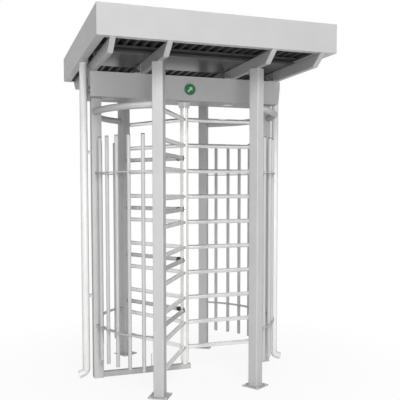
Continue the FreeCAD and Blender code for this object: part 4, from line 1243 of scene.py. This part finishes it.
@dataclass
class Canopy:
    """Roof arms, purlins, ribbed deck, fascias with gutters, and downpipes."""

    palette: Palette
    deck_pitch: float = 66.0 * MM
    purlin_middles: tuple[float, float, float] = (-411.0 * MM, 29.0 * MM, 620.0 * MM)
    rivet: float = 6.0 * MM
    rivet_inset: float = 12.0 * MM
    rivet_margin: float = 25.0 * MM
    rivets_down: int = 4
    sheet_thick: float = 1.5 * MM
    pipe_radius: float = 28.0 * MM
    arm_places: tuple[float, float, float] = (-358.5 * MM, 358.5 * MM, 720.0 * MM)
    arm_half: float = 18.0 * MM
    bracket_places: tuple[float, float] = (-110.0 * MM, -30.0 * MM)
    bracket_thick: float = 5.0 * MM
    bracket_thread: float = 8.0 * MM
    lower_bolt_aside: float = 30.0 * MM
    upper_bolt_back: float = 12.0 * MM
    upper_bolt_rise: float = 38.0 * MM
    deck_thread: float = 6.0 * MM

    def build(self) -> None:
        """Dress the nodes and add the fixings of the roof."""
        for node in ("fascia_front", "fascia_rear", "fascia_left", "fascia_right"):
            self.palette.dress(node, self.palette.canopy_coat)
        self.palette.dress("roof_arms", self.palette.frame_coat)
        # painted shade: near-black coat for the shade under the roof
        self.palette.dress("roof_purlins", self.palette.underside_shade_coat)
        self.palette.dress("roof_brackets", self.palette.zinc)
        # painted shade: near-black deck for the shade under the roof
        self.palette.dress("roof_deck", self.palette.deck_coat)
        self.palette.dress("pipe_clips", self.palette.frame_coat)
        for side in Side:
            self.palette.dress("downpipe_" + side.word, self.palette.pipes)
        self.deck_screws()
        self.fascia_rivets()
        self.outlet_collars()
        self.bracket_bolts()

    def deck_screws(self) -> None:
        """Roofing screws in the valleys of the deck over each purlin: a sealing disc under a hex head."""
        low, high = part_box("roof_deck")
        count = int((high[0] - low[0]) // self.deck_pitch)
        start = (low[0] + high[0] - count * self.deck_pitch) / 2.0
        top = low[2] + self.sheet_thick
        shells = []
        for x in start + self.deck_pitch * np.arange(0, count + 1, 2):
            for y in self.purlin_middles:
                shells += bolt(np.array([x, y, top]), UP, self.deck_thread)
        make_piece("deck_screws", shells, "frame", self.palette.zinc, HEAD_CREASE)

    def fascia_rivets(self) -> None:
        """Rivet heads down each corner of the fascia, where the long sheets overlap the side ones."""
        shells = []
        for side in Side:
            low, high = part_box("fascia_" + side.word)
            face = low[0] if side is Side.LEFT else high[0]
            out = np.array([side.value, 0.0, 0.0])
            for y in (low[1] + self.rivet_inset, high[1] - self.rivet_inset):
                levels = np.linspace(low[2] + self.rivet_margin, high[2] - self.rivet_margin,
                                     self.rivets_down)
                for z in levels:
                    shells.append(dome(np.array([face, y, z]), out, self.rivet, 12))
        make_piece("fascia_rivets", shells, "frame", self.palette.canopy_coat)

    def outlet_collars(self) -> None:
        """Collar round each downpipe under the gutter: a rounded sleeve turned about the pipe."""
        r = self.pipe_radius / MM
        arc = arc_points((r + 1.2, -9.0), 0.9, 180.0, 360.0, 7)
        bore = np.array([[r + 0.2, -0.3], [r + 0.2, -9.0]])
        flange = np.array([[r + 2.1, -2.0], [r + 6.0, -1.6], [r + 6.0, -0.3]])
        profile = np.concatenate([bore, arc[1:], flange]) * MM
        shells = []
        for side in Side:
            low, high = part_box("downpipe_" + side.word)
            inner = high[0] if side is Side.LEFT else low[0]
            x = inner + side.value * self.pipe_radius
            place = np.array([x, (low[1] + high[1]) / 2.0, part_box("fascia_" + side.word)[0][2]])
            shells.append(revolve(profile, place, UP, 48, closed=True))
        make_piece("outlet_collars", shells, "frame", self.palette.pipes)

    def bracket_bolts(self) -> None:
        """Bolts through the angles between the header and the arms, two down and two across each."""
        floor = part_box("roof_arms")[0][2] + self.bracket_thick
        shells = []
        for x in self.arm_places:
            face = x - self.arm_half
            for y in self.bracket_places:
                lower = np.array([face - self.lower_bolt_aside, y, floor])
                upper = np.array([face - self.bracket_thick, y + self.upper_bolt_back,
                                  floor + self.upper_bolt_rise])
                shells += bolt(lower, UP, self.bracket_thread)
                shells += bolt(upper, -ALONG, self.bracket_thread)
        make_piece("bracket_bolts", shells, "frame", self.palette.zinc, HEAD_CREASE)


@dataclass
class Studio:
    """Camera at the photograph's place, soft lights and a pale floor."""

    eye: Place = (-1.434, -4.703, 1.450)
    yaw: float = 19.0
    pitch: float = 3.516
    focal_px: float = 622.8
    centre_px: tuple[float, float] = (206.58, 225.30)
    image: float = 400.0
    sensor: float = 36.0
    ambient: float = 0.33
    aim: Place = (0.0, 0.0, 1.3)
    key: float = 530.0
    key_place: Place = (-1.3, -8.2, 7.6)
    key_size: float = 3.6
    fill: float = 0.02
    fill_place: Place = (5.5, -3.5, 2.6)
    fill_size: float = 3.0
    low: float = 0.22
    low_place: Place = (-1.2, -8.5, 1.3)
    low_size: float = 2.5
    floor_size: float = 60.0
    fade_start: float = 0.6
    fade_end: float = 2.2
    near_white: float = 0.88

    def build(self) -> None:
        """Set up everything that isn't the object."""
        scene = bpy.context.scene
        scene.view_settings.view_transform = "Standard"
        self.camera()
        self.world()
        self.lamp("key", self.key_place, self.key_size, self.key)
        self.lamp("fill", self.fill_place, self.fill_size, self.key * self.fill)
        self.lamp("low", self.low_place, self.low_size, self.key * self.low)
        self.floor()

    def camera(self) -> None:
        """Camera with the fitted lens; the shift puts its axis at the fitted principal point."""
        data = bpy.data.cameras.new("camera")
        data.sensor_width = self.sensor
        data.lens = self.focal_px * self.sensor / self.image
        half = self.image / 2.0
        data.shift_x = -(self.centre_px[0] - half) / self.image
        data.shift_y = (self.centre_px[1] - half) / self.image
        camera = bpy.data.objects.new("camera", data)
        camera.location = self.eye
        camera.rotation_euler = (math.radians(90.0 - self.pitch), 0.0, math.radians(-self.yaw))
        bpy.context.scene.collection.objects.link(camera)
        bpy.context.scene.camera = camera

    def world(self) -> None:
        """White for the camera and for mirrors, an even grey light for everything else."""
        world = bpy.data.worlds.new("studio")
        bpy.context.scene.world = world
        world.use_nodes = True
        sheet = Sheet(world.node_tree)
        world.node_tree.nodes.clear()
        colour = sheet.mix(sheet.seen(), shade(WHITE, self.ambient), shade(WHITE))
        back = sheet.add("ShaderNodeBackground", {"Color": colour, "Strength": 1.0})
        out = sheet.add("ShaderNodeOutputWorld")
        sheet.feed(out, "Surface", back.outputs[0])

    def lamp(self, name: str, place: Place, size: float, power: float) -> None:
        """Square soft light that faces the middle of the turnstile.

        Args:
            name: Name of the light.
            place: Where it stands.
            size: Length of its side.
            power: Power in watts.
        """
        data = bpy.data.lights.new(name, "AREA")
        data.size = size
        data.energy = power
        light = bpy.data.objects.new(name, data)
        light.location = place
        light.rotation_euler = (Vector(self.aim) - Vector(place)).to_track_quat("-Z", "Y").to_euler()
        bpy.context.scene.collection.objects.link(light)

    def floor(self) -> None:
        """Pale floor that keeps a soft shadow near the object and fades to white further out."""
        half = self.floor_size / 2.0
        mesh = bpy.data.meshes.new("floor")
        corners = np.array([[-half, -half, 0.0], [half, -half, 0.0], [half, half, 0.0], [-half, half, 0.0]])
        mesh.from_pydata(corners.tolist(), [], [[0, 1, 2, 3]])
        floor = bpy.data.objects.new("floor", mesh)
        bpy.context.scene.collection.objects.link(floor)
        material, sheet, shader, coords = blank_material("floor")
        shader.inputs["Base Color"].default_value = shade(WHITE, 0.9)
        shader.inputs["Roughness"].default_value = 0.6
        shader.inputs["Specular IOR Level"].default_value = 0.2
        glow = sheet.add("ShaderNodeEmission", {"Color": shade(WHITE), "Strength": 1.0})
        distance = sheet.add("ShaderNodeVectorMath", {0: coords}, operation="LENGTH").outputs["Value"]
        fade = {0: distance, 1: self.fade_start, 2: self.fade_end, 3: self.near_white, 4: 1.0}
        reach = sheet.add("ShaderNodeMapRange", fade).outputs[0]
        share = sheet.math("MULTIPLY", sheet.seen(), reach)
        mix = sheet.add("ShaderNodeMixShader", {0: share, 1: shader.outputs[0], 2: glow.outputs[0]})
        out = material.node_tree.nodes["Material Output"]
        sheet.feed(out, "Surface", mix.outputs[0])
        mesh.materials.append(material)


def main() -> None:
    """Build the studio and dress every sub-assembly."""
    logging.basicConfig(level=logging.INFO, format="%(message)s")
    Studio().build()
    palette = Palette()
    for assembly in (Cage(palette), Rotor(palette), Header(palette), Canopy(palette)):
        assembly.build()
        LOG.info("%s done", type(assembly).__name__)


if __name__ == "__main__":
    main()
